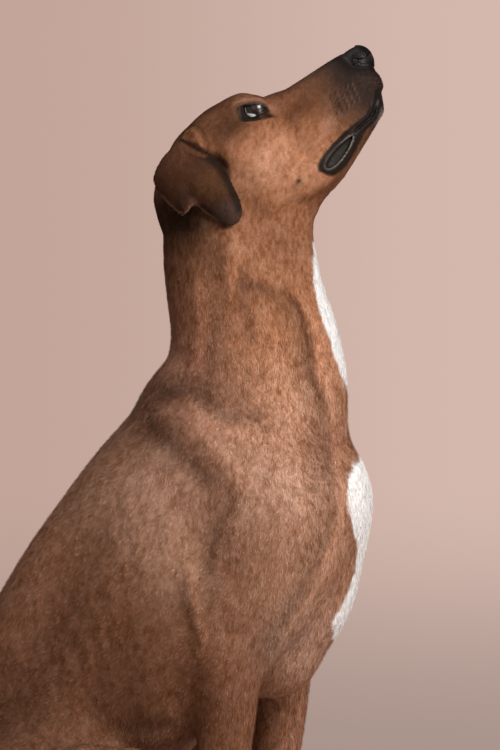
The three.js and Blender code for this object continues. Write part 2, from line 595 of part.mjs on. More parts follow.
let head = head0.add(upperRoll);
let jaw = meshField(dog, HEAD_BOX, 9.6).add(lowerRoll);
for (const [name, side] of Object.entries(SIDES)) {
  const middle = fromHead([EYE.x, EYE.y * side, EYE.z]);
  head = head.add(ball(middle, EYE.radius + 2.6, 8)).subtract(ball(middle, EYE.radius + GAP, 9)).subtract(almond(side, 1));
  add(`eye_${name}`, ball(middle, EYE.radius, 8), EYE_WET);
  const rim = new THREE.CatmullRomCurve3(pocketRim(side, 1), true).getPoints(16);
  const ridge = tube(rim, () => 2.4, 14, 5);
  const pit = solidOf(new THREE.SphereGeometry(1, 10, 7)).scale([POCKET.long * 0.9, 7, POCKET.deep * 0.78])
    .rotate([0, -POCKET.pitch, 0])
    .translate([POCKET.x, onSkinWidth(POCKET.x, POCKET.z) * side, POCKET.z])
    .rotate([0, -THREE.MathUtils.radToDeg(HEAD_PITCH), 0]).translate([OCCIPUT[0], 0, OCCIPUT[1]]);
  head = head.add(ridge).subtract(pit);
  jaw = jaw.add(ridge).subtract(pit);
}
function onSkinWidth(x, z) {
  return onSkin([x, 70, z], [x, 0, z]).y;
}
const trunkHead = slab(TRUNK.head, -GAP / 2);
add("head", head.subtract(jawRoom).subtract(noseRoom).intersect(trunkHead), COAT, 1.1);
add("jaw", jaw.subtract(noseRoom).intersect(jawPrism).intersect(trunkHead), COAT, 1.5);

// ---- nose: leather with a comma-shaped nostril on each side and a groove down the middle ----
const noseBox = new THREE.Box3().setFromPoints(NOSE.flatMap(([x, z]) => [fromHead([x, 26, z]), fromHead([x, -26, z])]));
let nose = meshField(dog, noseBox.expandByScalar(6), 4.75).intersect(nosePrism);
for (const side of [1, -1]) {
  const comma = [[234, 6.5, -51], [226, 7.5, -51.5], [221, 12, -54], [214, 19, -50], [209, 22, -46]];
  nose = nose.subtract(tube(comma.map(([x, y, z]) => fromHead([x, y * side, z])), (t) => 4.3 - 2.9 * t, 6, 6));
}
nose = nose.subtract(tube([[231, 0, -52], [231, 0, -62], [226, 0, -72], [222, 0, -80]].map(fromHead), () => 1.4, 5, 5));
add("nose", nose, LEATHER);

// ---- ears: thin hanging leaves that are cupped on the inside ----
// The outline in the side view, from the front of the root round the tip and back over the top.
const EAR = [[74, 852], [86, 843], [97, 830], [107, 814], [115, 798], [118, 783], [113, 771], [101, 767], [88, 773],
  [75, 782], [63, 790], [54, 781], [44, 783], [31, 795], [19, 811], [17, 824], [24, 841], [36, 856], [50, 866], [63, 864]];
const EAR_MIDDLE = [62, 826];
const AROUND = 30; // points round the edge of an ear
function ear(side) {
  const outline = new THREE.CatmullRomCurve3(EAR.map(([x, z]) => new THREE.Vector3(x, 0, z)), true).getSpacedPoints(AROUND).slice(0, AROUND);
  const rings = 4;
  const at = (r, i) => {
    const share = r / rings;
    const x = mix(EAR_MIDDLE[0], outline[i].x, share);
    const z = mix(EAR_MIDDLE[1], outline[i].z, share);
    return [x, z, share];
  };
  // How far out the leaf hangs: it leaves the skull at the root and stands off the cheek and the neck below.
  const hang = (x, z) => {
    const drop = THREE.MathUtils.clamp((858 - z) / 88, 0, 1);
    const forward = THREE.MathUtils.clamp((x - 60) / 55, 0, 1);
    return 49 + 20 * Math.sin(Math.min(1, drop * 1.6) * Math.PI / 2) - 3 * drop + 3 * forward * drop;
  };
  const sheet = (inside) => (r, i) => {
    const [x, z, share] = at(r, i);
    const cup = 5.5 * share ** 3;
    const crease = 2.6 * Math.exp(-(((x - 60) + (z - 800) * 0.35) ** 2) / 60) * THREE.MathUtils.smoothstep(-z, -830, -790);
    const thick = (inside ? -1 : 1) * (2.5 - 1.6 * share ** 3);
    const dish = inside ? 2.2 * (1 - share ** 2) : 0;
    return new THREE.Vector3(x, (hang(x, z) - cup - crease + thick + dish * 0.4) * side, z);
  };
  const points = [];
  const faces = [];
  const index = [];
  for (const inside of [false, true]) {
    const place = sheet(inside);
    const id = [];
    for (let r = 0; r <= rings; r++) {
      id.push([]);
      for (let i = 0; i < AROUND; i++) {
        if (r === 0 && i > 0) id[r].push(id[0][0]);
        else {
          points.push(place(r, i));
          id[r].push(points.length - 1);
        }
      }
    }
    index.push(id);
    for (let r = 0; r < rings; r++)
      for (let i = 0; i < AROUND; i++) {
        const j = (i + 1) % AROUND;
        const [a, b, c, d] = [id[r][i], id[r][j], id[r + 1][j], id[r + 1][i]];
        const quad = r === 0 ? [a, c, d] : [a, b, c, a, c, d];
        faces.push(...(inside ? quad.reverse() : quad));
      }
  }
  const [outer, inner] = index.map((id) => id[rings]);
  for (let i = 0; i < AROUND; i++) {
    const j = (i + 1) % AROUND;
    faces.push(outer[i], outer[j], inner[j], outer[i], inner[j], inner[i]);
  }
  const leaf = solid(points, faces);
  return leaf.volume() > 0 ? leaf : solid(points, faces.toReversed());
}
const aroundEars = new THREE.Box3(new THREE.Vector3(-20, -84, 735), new THREE.Vector3(140, 84, 895));
const skinRoom = meshField((x, y, z) => dog(x, y, z) - 0.7, aroundEars, 11.6);
for (const [name, side] of Object.entries(SIDES)) add(`ear_${name}`, ear(side).subtract(skinRoom), DARK_COAT);

// ---- claws ----
for (const paw of PAWS) {
  const pawRoom = legFlesh(paw.name.startsWith("fore") ? "forepaw" : "hindfoot", Math.sign(paw.y), 1.3);
  TOES.forEach((y, i) => {
    const x = TOE_REACH[i] + 17;
    const line = [[x, y * 1.04, 14], [x + 9, y * 1.06, 14.5], [x + 15, y * 1.08, 9.5], [x + 17.5, y * 1.1, 3.6]];
    const claw = tube(line.map((p) => new THREE.Vector3(...paw.at(...p))), (t) => (3.6 - 2.2 * t) * paw.size, 4, 5, 0.8);
    add(`claw_${paw.name}_${i + 1}`, claw.subtract(pawRoom), CLAW);
  });
}

// The origin lies on the floor under the middle of the whole dog.
const bounds = new THREE.Box3().setFromObject(model);
const middle = bounds.getCenter(new THREE.Vector3());
for (const mesh of model.children) mesh.geometry.translate(-middle.x, -middle.y, 0);

export default model;
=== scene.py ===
"""A short-coated dog that sits upright with its head raised: skin, coat, eyes, nose, claws, floor and light.

Shapes are worked out in millimetres, +X forward, +Y to the dog's left, and moved into the frame at the end.
The flesh is one smooth field: rounded masses over a skeleton, negative inside, blended one after another.
"""
import math

import bpy
import numpy as np
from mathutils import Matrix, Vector


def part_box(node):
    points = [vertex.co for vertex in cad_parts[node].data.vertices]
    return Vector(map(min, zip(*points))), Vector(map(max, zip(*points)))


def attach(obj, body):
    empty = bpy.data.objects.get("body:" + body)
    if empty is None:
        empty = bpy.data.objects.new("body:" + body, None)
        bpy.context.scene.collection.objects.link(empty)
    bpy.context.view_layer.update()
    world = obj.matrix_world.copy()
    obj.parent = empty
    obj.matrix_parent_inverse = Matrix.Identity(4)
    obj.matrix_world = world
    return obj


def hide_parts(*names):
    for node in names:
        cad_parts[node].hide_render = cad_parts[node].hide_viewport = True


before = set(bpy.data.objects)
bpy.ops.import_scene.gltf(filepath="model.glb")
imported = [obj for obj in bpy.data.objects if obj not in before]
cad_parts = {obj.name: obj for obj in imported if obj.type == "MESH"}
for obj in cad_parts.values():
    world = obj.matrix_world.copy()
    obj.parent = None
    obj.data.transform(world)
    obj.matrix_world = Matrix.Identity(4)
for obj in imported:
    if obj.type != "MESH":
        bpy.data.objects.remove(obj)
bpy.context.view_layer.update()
SEED = 11

# ---------------------------------------- driving sizes, mm
HEAD_PITCH = math.radians(37)
SPINE_PITCH = 54
OCCIPUT = np.array([31.5, 0.0, 861.0])
LEG_SPREAD = 77
KNEE_SPREAD = 122
STEP = {1: 127, -1: 102}  # X of each foreleg, by side
EYE_SOLID = np.array([94.0, 26.8, -25.8])  # middle of the eye's solid, in the head's own frame
EYE_AT = np.array([94.3, 25.3, -28.2])  # middle of the eyeball that shows, a little lower and further in
EYE_RADIUS = 13.4


def unit(v):
    """Directions of length 1."""
    v = np.asarray(v, float)
    return v / np.linalg.norm(v, axis=-1, keepdims=True)


def tilted(v, pitch):
    """Vectors in a frame whose X is turned up by pitch: [x cos + z sin, y, z cos - x sin]."""
    c, s = math.cos(pitch), math.sin(pitch)
    return np.stack([v[..., 0] * c + v[..., 2] * s, v[..., 1], v[..., 2] * c - v[..., 0] * s], -1)


def to_head(p):
    """Points in the head's frame: X along the muzzle from the occiput, Z square to it."""
    return tilted(p - OCCIPUT, HEAD_PITCH)


def head_dir(v):
    """A direction given in the head's frame, turned into the dog's."""
    return tilted(np.asarray(v, float), -HEAD_PITCH)


def from_head(h):
    """The way back from the head's frame."""
    return OCCIPUT + head_dir(h)


def flipped(v, side):
    """Points or directions given on the dog's left, on the side given."""
    return np.asarray(v, float) * np.array([1, side, 1])


def along_line(p, a, b):
    """Each point's share of the way from a to b, held between the ends, and how it lies from that place."""
    run = b - a
    t = np.clip((p - a) @ run / (run @ run), 0, 1)
    return t, p - a - t[:, None] * run


def size_of(v):
    """Lengths of the vectors in the rows."""
    return np.sqrt((v * v).sum(1))


eye_box = np.array(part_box("eye_left")) * 1000
SHIFT = eye_box.mean(0) - from_head(EYE_SOLID)  # from these coordinates to the frame's


# ---------------------------------------- the field
FAR = 1e3  # a distance past all blends
WIDEST_BLEND = 45


def smooth_min(a, b, k):
    """The lesser of two distances, rounded off over k where they meet."""
    return np.minimum(a, b) - np.maximum(k - np.abs(a - b), 0) ** 2 / (4 * k)


def smooth_max(a, b, k):
    """The greater of two distances, rounded off in the same way."""
    return -smooth_min(-a, -b, k)


def lump(at, radii, pitch=0):
    """An ellipsoid, its first radius turned up by pitch degrees: distance is |p/r|(|p/r|-1)/|p/r2|."""
    at, radii = np.array(at, float), np.array(radii, float)
    widest = max(radii[0], radii[2])
    reach = np.array([widest, radii[1], widest])

    def distance(p):
        q = tilted(p - at, math.radians(pitch)) / radii
        near = size_of(q)
        return near * (near - 1) / (size_of(q / radii) + 1e-9)
    return distance, at - reach, at + reach


def cubic(a, b, c, d, t):
    """The place at share t of a Catmull-Rom cubic's span from b to c."""
    return b + 0.5 * t * (c - a + t * (2 * a - 5 * b + 4 * c - d + t * (3 * (b - c) + d - a)))


def smooth_line(stations, cut=3):
    """Stations joined by Catmull-Rom cubics, each span cut into equal shares of its parameter."""
    p = np.array(stations, float)
    if len(p) < 3:
        return p
    padded = np.vstack([p[:1], p, p[-1:]])
    line = []
    for i in range(len(p) - 1):
        line += [cubic(*padded[i:i + 4], t) for t in np.arange(cut) / cut]
    return np.array(line + [p[-1]])


def muscle(stations, wide=1.0, cut=3):
    """A tapered capsule along a smooth line of [x, y, z, radius] stations, wide times as broad as deep."""
    line = smooth_line(stations, cut)
    even = min(1.0, wide)

    def distance(p):
        best = np.full(len(p), FAR)
        for a, b in zip(line[:-1], line[1:]):
            t, d = along_line(p, a[:3], b[:3])
            d[:, 1] /= wide
            best = np.minimum(best, size_of(d) - a[3] - t * (b[3] - a[3]))
        return best * even
    r = line[:, 3:4] * max(1.0, wide)
    slack = WIDEST_BLEND * (1 / even - 1)  # across its narrow way the distance grows slower
    return distance, (line[:, :3] - r).min(0) - slack, (line[:, :3] + r).max(0) + slack


BODY, HEAD, HOLLOW = [], [], []  # each entry is (blend, (distance, low corner, high corner))


def flesh(k, mass):
    """Adds a mass to the body, blended over k."""
    BODY.append((k, mass))


def skull(k, mass):
    """Adds a mass to the head, in the head's frame."""
    HEAD.append((k, mass))


def hollow(k, mass):
    """Takes a mass out of the head."""
    HOLLOW.append((k, mass))


# trunk
flesh(1, lump([32, 0, 423], [187, 99, 125], SPINE_PITCH))
flesh(45, muscle([[40, 0, 352, 118], [-38, 0, 268, 114], [-112, 0, 190, 104], [-158, 0, 122, 92]], 0.84))
flesh(34, lump([145.5, 0, 462], [102, 78, 114]))
flesh(20, lump([138.5, 0, 397], [97.5, 68, 115]))
flesh(24, muscle([[138, 0, 345, 62], [138, 0, 302, 54]], 0.86))
flesh(30, muscle([[36, 0, 567, 38], [-46, 0, 463, 40], [-94, 0, 398, 46], [-136, 0, 330, 46],
                  [-180, 0, 240, 48]], 1.5))
flesh(40, lump([-158, 0, 142], [84, 98, 104], 60))
flesh(24, lump([-184, 0, 66], [48, 52, 72]))
# neck
flesh(36, muscle([[82, 0, 812, 63], [88.5, 0, 745, 73.7], [93.5, 0, 700, 75.5], [99.5, 0, 650, 76.5],
                  [100, 0, 585, 84]], 0.83))
flesh(24, lump([47.5, 0, 801], [41, 34, 38]))
flesh(14, muscle([[130, 0, 800, 39], [150, 0, 745, 34.5], [161.5, 0, 700, 33], [178.5, 0, 650, 33.5],
                  [188, 0, 600, 34], [189, 0, 545, 34]]))
# legs
for side, foot in STEP.items():
    flesh(28, muscle([[40, 32 * side, 566, 36], [110, 59 * side, 505, 56], [165, 71 * side, 446, 54]], 0.66))
    flesh(30, lump([172, 62 * side, 428], [44, 32, 54], 40))
    flesh(34, muscle([[190, 32 * side, 462, 38], [158, 64 * side, 370, 40], [128, 76 * side, 312, 34]], 0.7))
    flesh(18, muscle([[140, 77 * side, 420, 62], [foot - 8, (LEG_SPREAD + 3) * side, 318, 50]], 0.6))
    flesh(10, lump([foot - 28, 81 * side, 296], [24, 18, 22], 60))
    flesh(14, muscle([[foot, 79 * side, 292, 41], [foot, LEG_SPREAD * side, 240, 36],
                      [foot - 2, 77 * side, 180, 29], [foot - 3, 72 * side, 120, 22.5],
                      [foot - 3, 70 * side, 84, 23.5], [foot + 2, 69 * side, 50, 22]], 0.86))
    flesh(10, lump([foot - 22, 72 * side, 78], [9, 9, 14], 70))
    flesh(50, muscle([[-152, 84 * side, 128, 80], [-70, 108 * side, 146, 56],
                      [6, KNEE_SPREAD * side, 168, 35]], 0.62))
    flesh(24, lump([-180, 44 * side, 62], [54, 50, 68]))
    flesh(30, lump([12, 54 * side, 278], [70, 44, 82], 30))
    flesh(24, lump([56, 56 * side, 300], [42, 34, 66]))
    flesh(9, muscle([[20, KNEE_SPREAD * side, 150, 31], [-44, 120 * side, 104, 37],
                     [-100, 118 * side, 62, 28], [-140, 116 * side, 36, 21]], 0.8))
    flesh(8, muscle([[-146, 116 * side, 21, 22], [-90, 117 * side, 17, 18.5],
                     [-36, 119 * side, 18, 19]], 0.95))
TAIL = [[-196, 0, 178, 44], [-230, 0, 126, 33], [-266, 0, 80, 26], [-304, -4, 42, 21], [-350, -18, 17, 17.5],
        [-405, -48, 13.5, 14.5], [-448, -92, 10.5, 11.5], [-470, -140, 7, 8]]
flesh(20, muscle(TAIL))
# paws
TOES = (-25, -9, 9, 25)
TOE_REACH = (14, 24, 24, 14)
PAW_SUNK = 1.3  # how far the pads are pressed flat on the floor
PAWS = [(x, y * side, turn * side, size) for side in (1, -1)
        for x, y, turn, size in ((STEP[side] + 24, 69, 4, 1.0), (-8, 121, 9, 0.93))]  # fore, hind


def paw_point(paw, x, y, z, radius):
    """A station of a paw: its place from the paw's middle on the floor, then its radius."""
    px, py, turn, size = paw
    c, s = math.cos(math.radians(turn)), math.sin(math.radians(turn))
    return [px + (x * c - y * s) * size, py + (x * s + y * c) * size, z * size - PAW_SUNK, radius * size]


for paw in PAWS:
    flesh(10, muscle([paw_point(paw, -30, 0, 26, 21), paw_point(paw, 2, 0, 22, 23)], 1.2))
    for y, x in zip(TOES, TOE_REACH):
        flesh(4, muscle([paw_point(paw, x - 20, y * 0.8, 23, 12), paw_point(paw, x, y, 22, 12.5),
                         paw_point(paw, x + 17, y * 1.04, 11, 11.5)], 0.86))
# head, in its own frame
for side in (1, -1):
    skull(1, lump([46, 0, -41], [60, 50, 50]))
    skull(16, lump([82, 21 * side, -18], [22, 20, 17], -18))
    skull(16, lump([34, 30 * side, -32], [38, 24, 32]))
    skull(16, muscle([[98, 36 * side, -46, 12], [52, 51 * side, -58, 14]]))
    skull(22, lump([58, 33 * side, -84], [42, 24, 44], -10))
skull(18, lump([6, 0, -16], [18, 16, 16]))
skull(10, lump([108, 0, -41], [18, 12, 19.5]))
skull(14, muscle([[104, 0, -48, 24.3], [150, 0, -48.5, 20.4], [186, 0, -50, 19], [204, 0, -50.5, 17.2]]))
for side in (1, -1):
    skull(14, muscle([[106, 14 * side, -80, 27], [160, 11 * side, -83, 26],
                      [200.5, 7.5 * side, -77, 21.8]], 0.82))
    skull(14, muscle([[54, 34 * side, -112, 24], [104, 24 * side, -125, 19], [150, 13 * side, -117.5, 13.3],
                      [196, 6 * side, -102.5, 8.5]], 0.9))
    skull(12, lump([14, 44 * side, -36], [20, 15, 22]))
skull(14, muscle([[30, 0, -132, 36], [95, 0, -130, 19], [150, 0, -117.5, 12.3], [194, 0, -103.5, 8.5]]))
NOSE_LUMP = lump([214, 0, -52.5], [18, 17, 19.5], -30)
skull(5, NOSE_LUMP)
for side in (1, -1):
    hollow(10, lump([106, 44 * side, -32], [15, 12, 11], -40))


HEAD_FLOOR, HEAD_BLEND = 700, 22.0  # no part of the head lies lower; how softly it meets the neck
REACH = 26.0  # how far off a mass's box its distance still has to be right


def gather(masses, p, d, join=smooth_min, sign=1):
    """Blends each mass into the distances d, reading only the points that lie near enough for it to
    matter."""
    for k, (distance, low, high) in masses:
        near = np.nonzero(((p > low - k - REACH) & (p < high + k + REACH)).all(1))[0]
        if len(near):
            d[near] = join(d[near], sign * distance(p[near]), k)
    return d


def base_field(p):
    """The plain flesh, as the solids have it."""
    d = gather(BODY, p, np.full(len(p), FAR))
    rows = np.nonzero(p[:, 2] > HEAD_FLOOR)[0]
    if len(rows):
        h = to_head(p[rows])
        head = gather(HEAD, h, np.full(len(rows), FAR))
        both = smooth_min(d[rows], head, HEAD_BLEND)
        d[rows] = gather(HOLLOW, h, both, smooth_max, -1)
    return d


def step_up(a, b, v):
    """0 below a and 1 above b, eased between."""
    t = np.clip((v - a) / (b - a), 0, 1)
    return t * t * (3 - 2 * t)


def bell(v, width):
    """1 in the middle, and e to the minus one at the width."""
    return np.exp(-(v / width) ** 2)


def spot(x, z, at, width, squeeze=(1, 1)):
    """A bell about a place in a side view, narrower along each axis by its squeeze."""
    return bell(np.hypot((x - at[0]) * squeeze[0], (z - at[1]) * squeeze[1]), width)


def closed_curve(points, cut=4):
    """A closed Catmull-Rom curve through the points."""
    points = np.array(points, float)
    a, b, c, d = (np.roll(points, -k, 0)[:, None] for k in (-1, 0, 1, 2))
    return cubic(a, b, c, d, (np.arange(cut) / cut)[None, :, None]).reshape(-1, 2)


def from_outline(x, z, outline):
    """Signed distance from a closed outline in the side view, less than 0 inside."""
    best, inside = np.full(len(x), 1e6), np.zeros(len(x), bool)
    for (ax, az), (bx, bz) in zip(outline, np.roll(outline, -1, 0)):
        ux, uz = bx - ax, bz - az
        t = np.clip(((x - ax) * ux + (z - az) * uz) / (ux * ux + uz * uz), 0, 1)
        best = np.minimum(best, (x - ax - t * ux) ** 2 + (z - az - t * uz) ** 2)
        crossing = (az > z) != (bz > z)
        with np.errstate(divide="ignore", invalid="ignore"):
            inside ^= crossing & (x < ax + (z - az) / (bz - az) * ux)
    return np.where(inside, -1, 1) * np.sqrt(best)


# ---------------------------------------- lines of the face, in the head's frame
MOUTH = np.array([[121, -128], [142, -121], [162, -114.6], [172, -112.8], [181, -112.2], [189, -111.3],
                  [195, -109.2], [201, -105.1], [206, -100.8], [210, -97.2], [214.5, -93.7], [260, -93.7]])
POCKET = {"x": 142.4, "z": -122.6, "long": 22.5, "deep": 6.0, "pitch": math.radians(16.6)}
EYE_OUT = unit([0.5, 0.866, 0.03])
EYE_ALONG = np.array([0.66, -0.38, -0.67])
EYE_ALONG = unit(EYE_ALONG - EYE_OUT * (EYE_ALONG @ EYE_OUT))
EYE_ACROSS = np.cross(EYE_OUT, EYE_ALONG)
EYE_ACROSS *= np.sign(EYE_ACROSS[2])
# The opening between the lids as it lies on the eyeball, in mm from where EYE_OUT meets it: along the eye
# towards the inner corner, and up across it.
LIDS = closed_curve([[-13.9, -1.2], [-10, 0.6], [-5.7, 1.3], [-1.1, 1.7], [3.8, 1.4], [8.3, 0.5],
                     [12.6, -0.8], [9.1, -4.2], [4.9, -6.8], [1.4, -9.6], [-1.4, -12.3], [-5.6, -13.6],
                     [-9.6, -12.2], [-12.4, -8.8], [-13.9, -4.8]])
GAZE = unit([0.6, 0.79, 0.12])  # where the iris faces: up and forward of the opening's middle
# The streaks that run on from the lids' corners: where each starts along the eye, and where it ends.
CORNERS = ((12.6, np.array([110.0, 24.5, -38.6])), (-14.2, np.array([82.0, 42.0, -10.5])))
MOLE = (90.5, -122.4)  # on the cheek


def mirrored(h):
    """The same points, all on the dog's left."""
    m = h.copy()
    m[:, 1] = np.abs(m[:, 1])
    return m


def above_mouth(m):
    """How far a point lies above the line where the lips meet, square to it in the side view."""
    slope = np.diff(MOUTH[:, 1]) / np.diff(MOUTH[:, 0])
    slope = np.interp(m[:, 0], (MOUTH[1:, 0] + MOUTH[:-1, 0]) / 2, slope)
    return (m[:, 2] - np.interp(m[:, 0], MOUTH[:, 0], MOUTH[:, 1])) / np.sqrt(1 + slope ** 2)


def from_pocket(m):
    """Distance outwards from the oval rim of the open fold at the corner of the mouth, in the side view."""
    u, _, v = tilted(m - np.array([POCKET["x"], 0, POCKET["z"]]), POCKET["pitch"]).T
    taper = POCKET["deep"] * (1 + 0.3 * np.clip(-u / POCKET["long"], -1, 1))  # a drop, fuller at the back
    k = np.sqrt((u / POCKET["long"]) ** 2 + (v / taper) ** 2)
    slope = np.sqrt((u / POCKET["long"] ** 2) ** 2 + (v / taper ** 2) ** 2) + 1e-9
    return k * (k - 1) / slope


def on_eye(u, w, r):
    """The point over the eyeball's map place (u, w), r from its middle. The map keeps turns from EYE_OUT."""
    u, w = np.asarray(u, float), np.asarray(w, float)
    far = np.hypot(u, w) + 1e-9
    turn = far / EYE_RADIUS
    side = (u / far)[..., None] * EYE_ALONG + (w / far)[..., None] * EYE_ACROSS
    return EYE_AT + r * (np.cos(turn)[..., None] * EYE_OUT + np.sin(turn)[..., None] * side)


def eye_map(m):
    """Map places (along, across) of points round the eyeball, and how far they are from its middle."""
    v = m - EYE_AT
    r = size_of(v) + 1e-9
    a, w = v @ EYE_ALONG, v @ EYE_ACROSS
    turn = np.arccos(np.clip(v @ EYE_OUT / r, -1, 1)) * EYE_RADIUS / (np.hypot(a, w) + 1e-9)
    return a * turn, w * turn, r


def from_lids(m):
    """Distance from the edge of the opening between the lids, less than 0 in it, then the eye's map."""
    u, w, r = eye_map(m)
    return from_outline(u, w, LIDS) * r / EYE_RADIUS, u, w, r


def into_leather(m):
    """Distance into the nose's leather, below 0 outside it: three straight borders, rounded off."""
    x, z = m[:, 0], m[:, 2]
    back = (x - 204.5) * 0.977 + (z + 36.4) * 0.206
    under = (x - 208.1) * 0.782 + (z + 53.5) * 0.624
    low = (x - 214.4) * 0.459 + (z + 61.4) * 0.888
    return smooth_min(smooth_min(back, under, 3.0), low, 4.0)


def line_distance(points):
    """A muscle without thickness: the distance from a smooth line."""
    return muscle([[*q, 0.0] for q in points])


def side_skin(x, z, side):
    """The points where the flesh is met from the side, at the X and Z given."""
    x, z = np.asarray(x, float), np.asarray(z, float)
    pace = 1.5
    y = np.arange(172.0, 0.0, -pace)  # from past the widest part inwards
    grid = np.stack([np.repeat(x, len(y)), np.tile(y, len(x)) * side, np.repeat(z, len(y))], 1)
    d = base_field(grid).reshape(len(x), len(y))
    first = np.argmax(d < 0, 1)
    row = np.arange(len(x))
    before, after = d[row, first - 1], d[row, first]
    return np.stack([x, side * (y[first] + pace * after / (after - before)), z], 1)


# Folds: a line on the skin, how deep it presses in (or stands out, below 0), and how wide it is.
FOLDS = []


def fold(depth, width, xz, side=None, shift=0):
    """Adds a fold along points in the side view, moved forward by shift, on one side or on both."""
    x, z = np.array(xz, float).T
    for s in ((1, -1) if side is None else (side,)):
        distance, low, high = line_distance(side_skin(x + shift, z, s))
        FOLDS.append((depth, width, distance, low - 3 * width, high + 3 * width))


def pressed(p):
    """How far the folds press each point in."""
    total = np.zeros(len(p))
    for depth, width, distance, low, high in FOLDS:
        near = np.nonzero(((p > low) & (p < high)).all(1))[0]
        if len(near):
            total[near] += depth * bell(distance(p[near]), width)
    return total


LONG_FOLD = [(114, 704), (146, 698), (167, 682), (177, 660), (182, 632), (187, 600), (197, 577), (205, 542),
             (214, 500), (222, 467), (224, 451), (215, 421), (202, 390), (186, 357), (165, 322), (159, 302)]
fold(5.2, 5.5, LONG_FOLD)  # from the throat down beside the windpipe and breast to the armpit
fold(1.8, 13, [(x - 9, z - 3) for x, z in LONG_FOLD[1:]])
fold(-1.3, 8, [(x + 10, z + 2) for x, z in LONG_FOLD[2:-3]])
fold(3.4, 8, [(22, 585), (56, 590), (71, 584), (86, 568), (106, 560), (136, 561)])  # at the neck's base
fold(1.6, 16, [(20, 596), (56, 602), (84, 584), (116, 574)])
fold(-1.5, 14, [(30, 558), (66, 560), (92, 542), (120, 534)])
fold(2.4, 8, [(112, 716), (116, 707), (119, 680), (125, 649)])  # valley under the jaw's corner
fold(-3.0, 9, [(101, 762), (103, 742), (104, 712)])
fold(-1.5, 8, [(62, 720), (66, 660), (58, 610)])  # strap of muscle down the side of the neck
fold(1.4, 10, [(86, 742), (88, 680), (80, 622)])
fold(3.0, 11, [(17, 542), (50, 515), (85, 489)])  # behind the spine of the blade
fold(-3.2, 13, [(60, 545), (95, 520), (120, 490)])
for leg_side, foot_x in STEP.items():
    lean = foot_x - STEP[-1]  # the places are the right leg's
    fold(1.3, 7, [(50, 383), (59, 346), (71, 324)], leg_side, lean)  # behind the elbow
    fold(-2.0, 7, [(66, 392), (72, 352), (82, 318)], leg_side, lean)
    fold(2.2, 8, [(112, 470), (92, 430), (84, 392)], leg_side, lean)  # blade and upper arm
    fold(-2.2, 6, [(194, 357), (179, 336), (163, 314)], leg_side, lean * 0.5)  # loose skin before the armpit
    fold(2.4, 4, [(176, 352), (166, 330), (152, 306)], leg_side, lean * 0.5)
fold(3.2, 8, [(36, 222), (0, 216), (-40, 210), (-85, 204)])  # flank fold over the thigh
fold(2.0, 7, [(-40, 128), (-86, 96), (-128, 66)])  # thigh over shank
for k in range(6):  # ribs
    fold(-0.8, 7, [(-8 - 14 * k, 470 - 34 * k), (10 - 14 * k, 420 - 30 * k), (20 - 16 * k, 370 - 26 * k)])

# ---------------------------------------- ears
EAR_CREASE = [(43, 864.5), (57, 857.5), (67, 852.5), (78, 847), (88, 842), (97, 834)]
EAR_LOOP = [(47, 865), (50, 870), (55, 872.5), (60, 871), (64, 867), (67.5, 860.5), (70, 853)]
fold(4.2, 3.2, EAR_CREASE)  # the gap over the ear's free front edge
fold(-2.4, 5.0, EAR_LOOP)  # the rounded fold of its root
fold(1.8, 3.0, [(52, 878), (59, 877), (65, 874), (70, 868), (73.5, 860), (76, 851)])
EAR_GAP = line_distance([(x, 0, z) for x, z in EAR_CREASE])[0]
EAR_EDGE = closed_curve([[60, 855.5], [75, 847.5], [88, 839.5], [98, 829.5], [106.5, 814], [114.5, 798],
                         [118, 783], [113, 771], [101, 767], [88, 773], [75, 782], [63, 790], [54, 781],
                         [44, 783], [31, 795], [19, 811], [17, 824], [24, 841], [36, 856], [46, 863.5]])


def ear_leaf(p):
    """The hanging ear: a cupped leaf about 3 mm thick, thinner at its edge, that swings out from its root in
    a quarter wave. Gives its distance, its outline's, and the offset from its middle, above 0 outside."""
    x, ay, z = p[:, 0], np.abs(p[:, 1]), p[:, 2]
    edge = from_outline(x, z, EAR_EDGE) + 0.9
    share = np.clip(1 + edge / 27, 0, 1)
    drop = np.clip((858 - z) / 88, 0, 1)
    forward = np.clip((x - 60) / 55, 0, 1)
    hang = 54 + 15 * np.sin(np.minimum(1, drop * 1.6) * math.pi / 2) - 3 * drop + 3 * forward * drop
    crease = 2.6 * np.exp(-((x - 60) + (z - 800) * 0.35) ** 2 / 60) * step_up(-830, -790, -z)
    ripple = 0.9 * np.sin(x * 0.19 + z * 0.05) * share ** 2 * drop
    middle = hang - 5.2 * share ** 3 - crease + ripple
    off = (ay - middle) * 0.9
    return smooth_max(edge, np.abs(off) - (1.75 - 0.75 * share ** 3), 1.2), edge, off


def by_ears(p):
    """The rows of the points that lie round the hanging ears."""
    x, y, z = mirrored(p).T
    return np.nonzero((x > 5) & (x < 130) & (y > 28) & (y < 84) & (z > 755) & (z < 880))[0]


# ---------------------------------------- the skin
HEAD_MIDDLE = np.array([110.0, 0.0, 880.0])
LID_LEAST = 1.7  # the lids are never thinner than this over the ball
SOCKET = 26  # how far from the eyeball's middle the lids reach


def coat_depth(p):
    """Depth of the coat over the skin: thin on the face and feet, about 2 mm on the body."""
    away = size_of(p - HEAD_MIDDLE)
    return 0.7 + 1.5 * step_up(95, 250, away) * step_up(20, 110, p[:, 2])


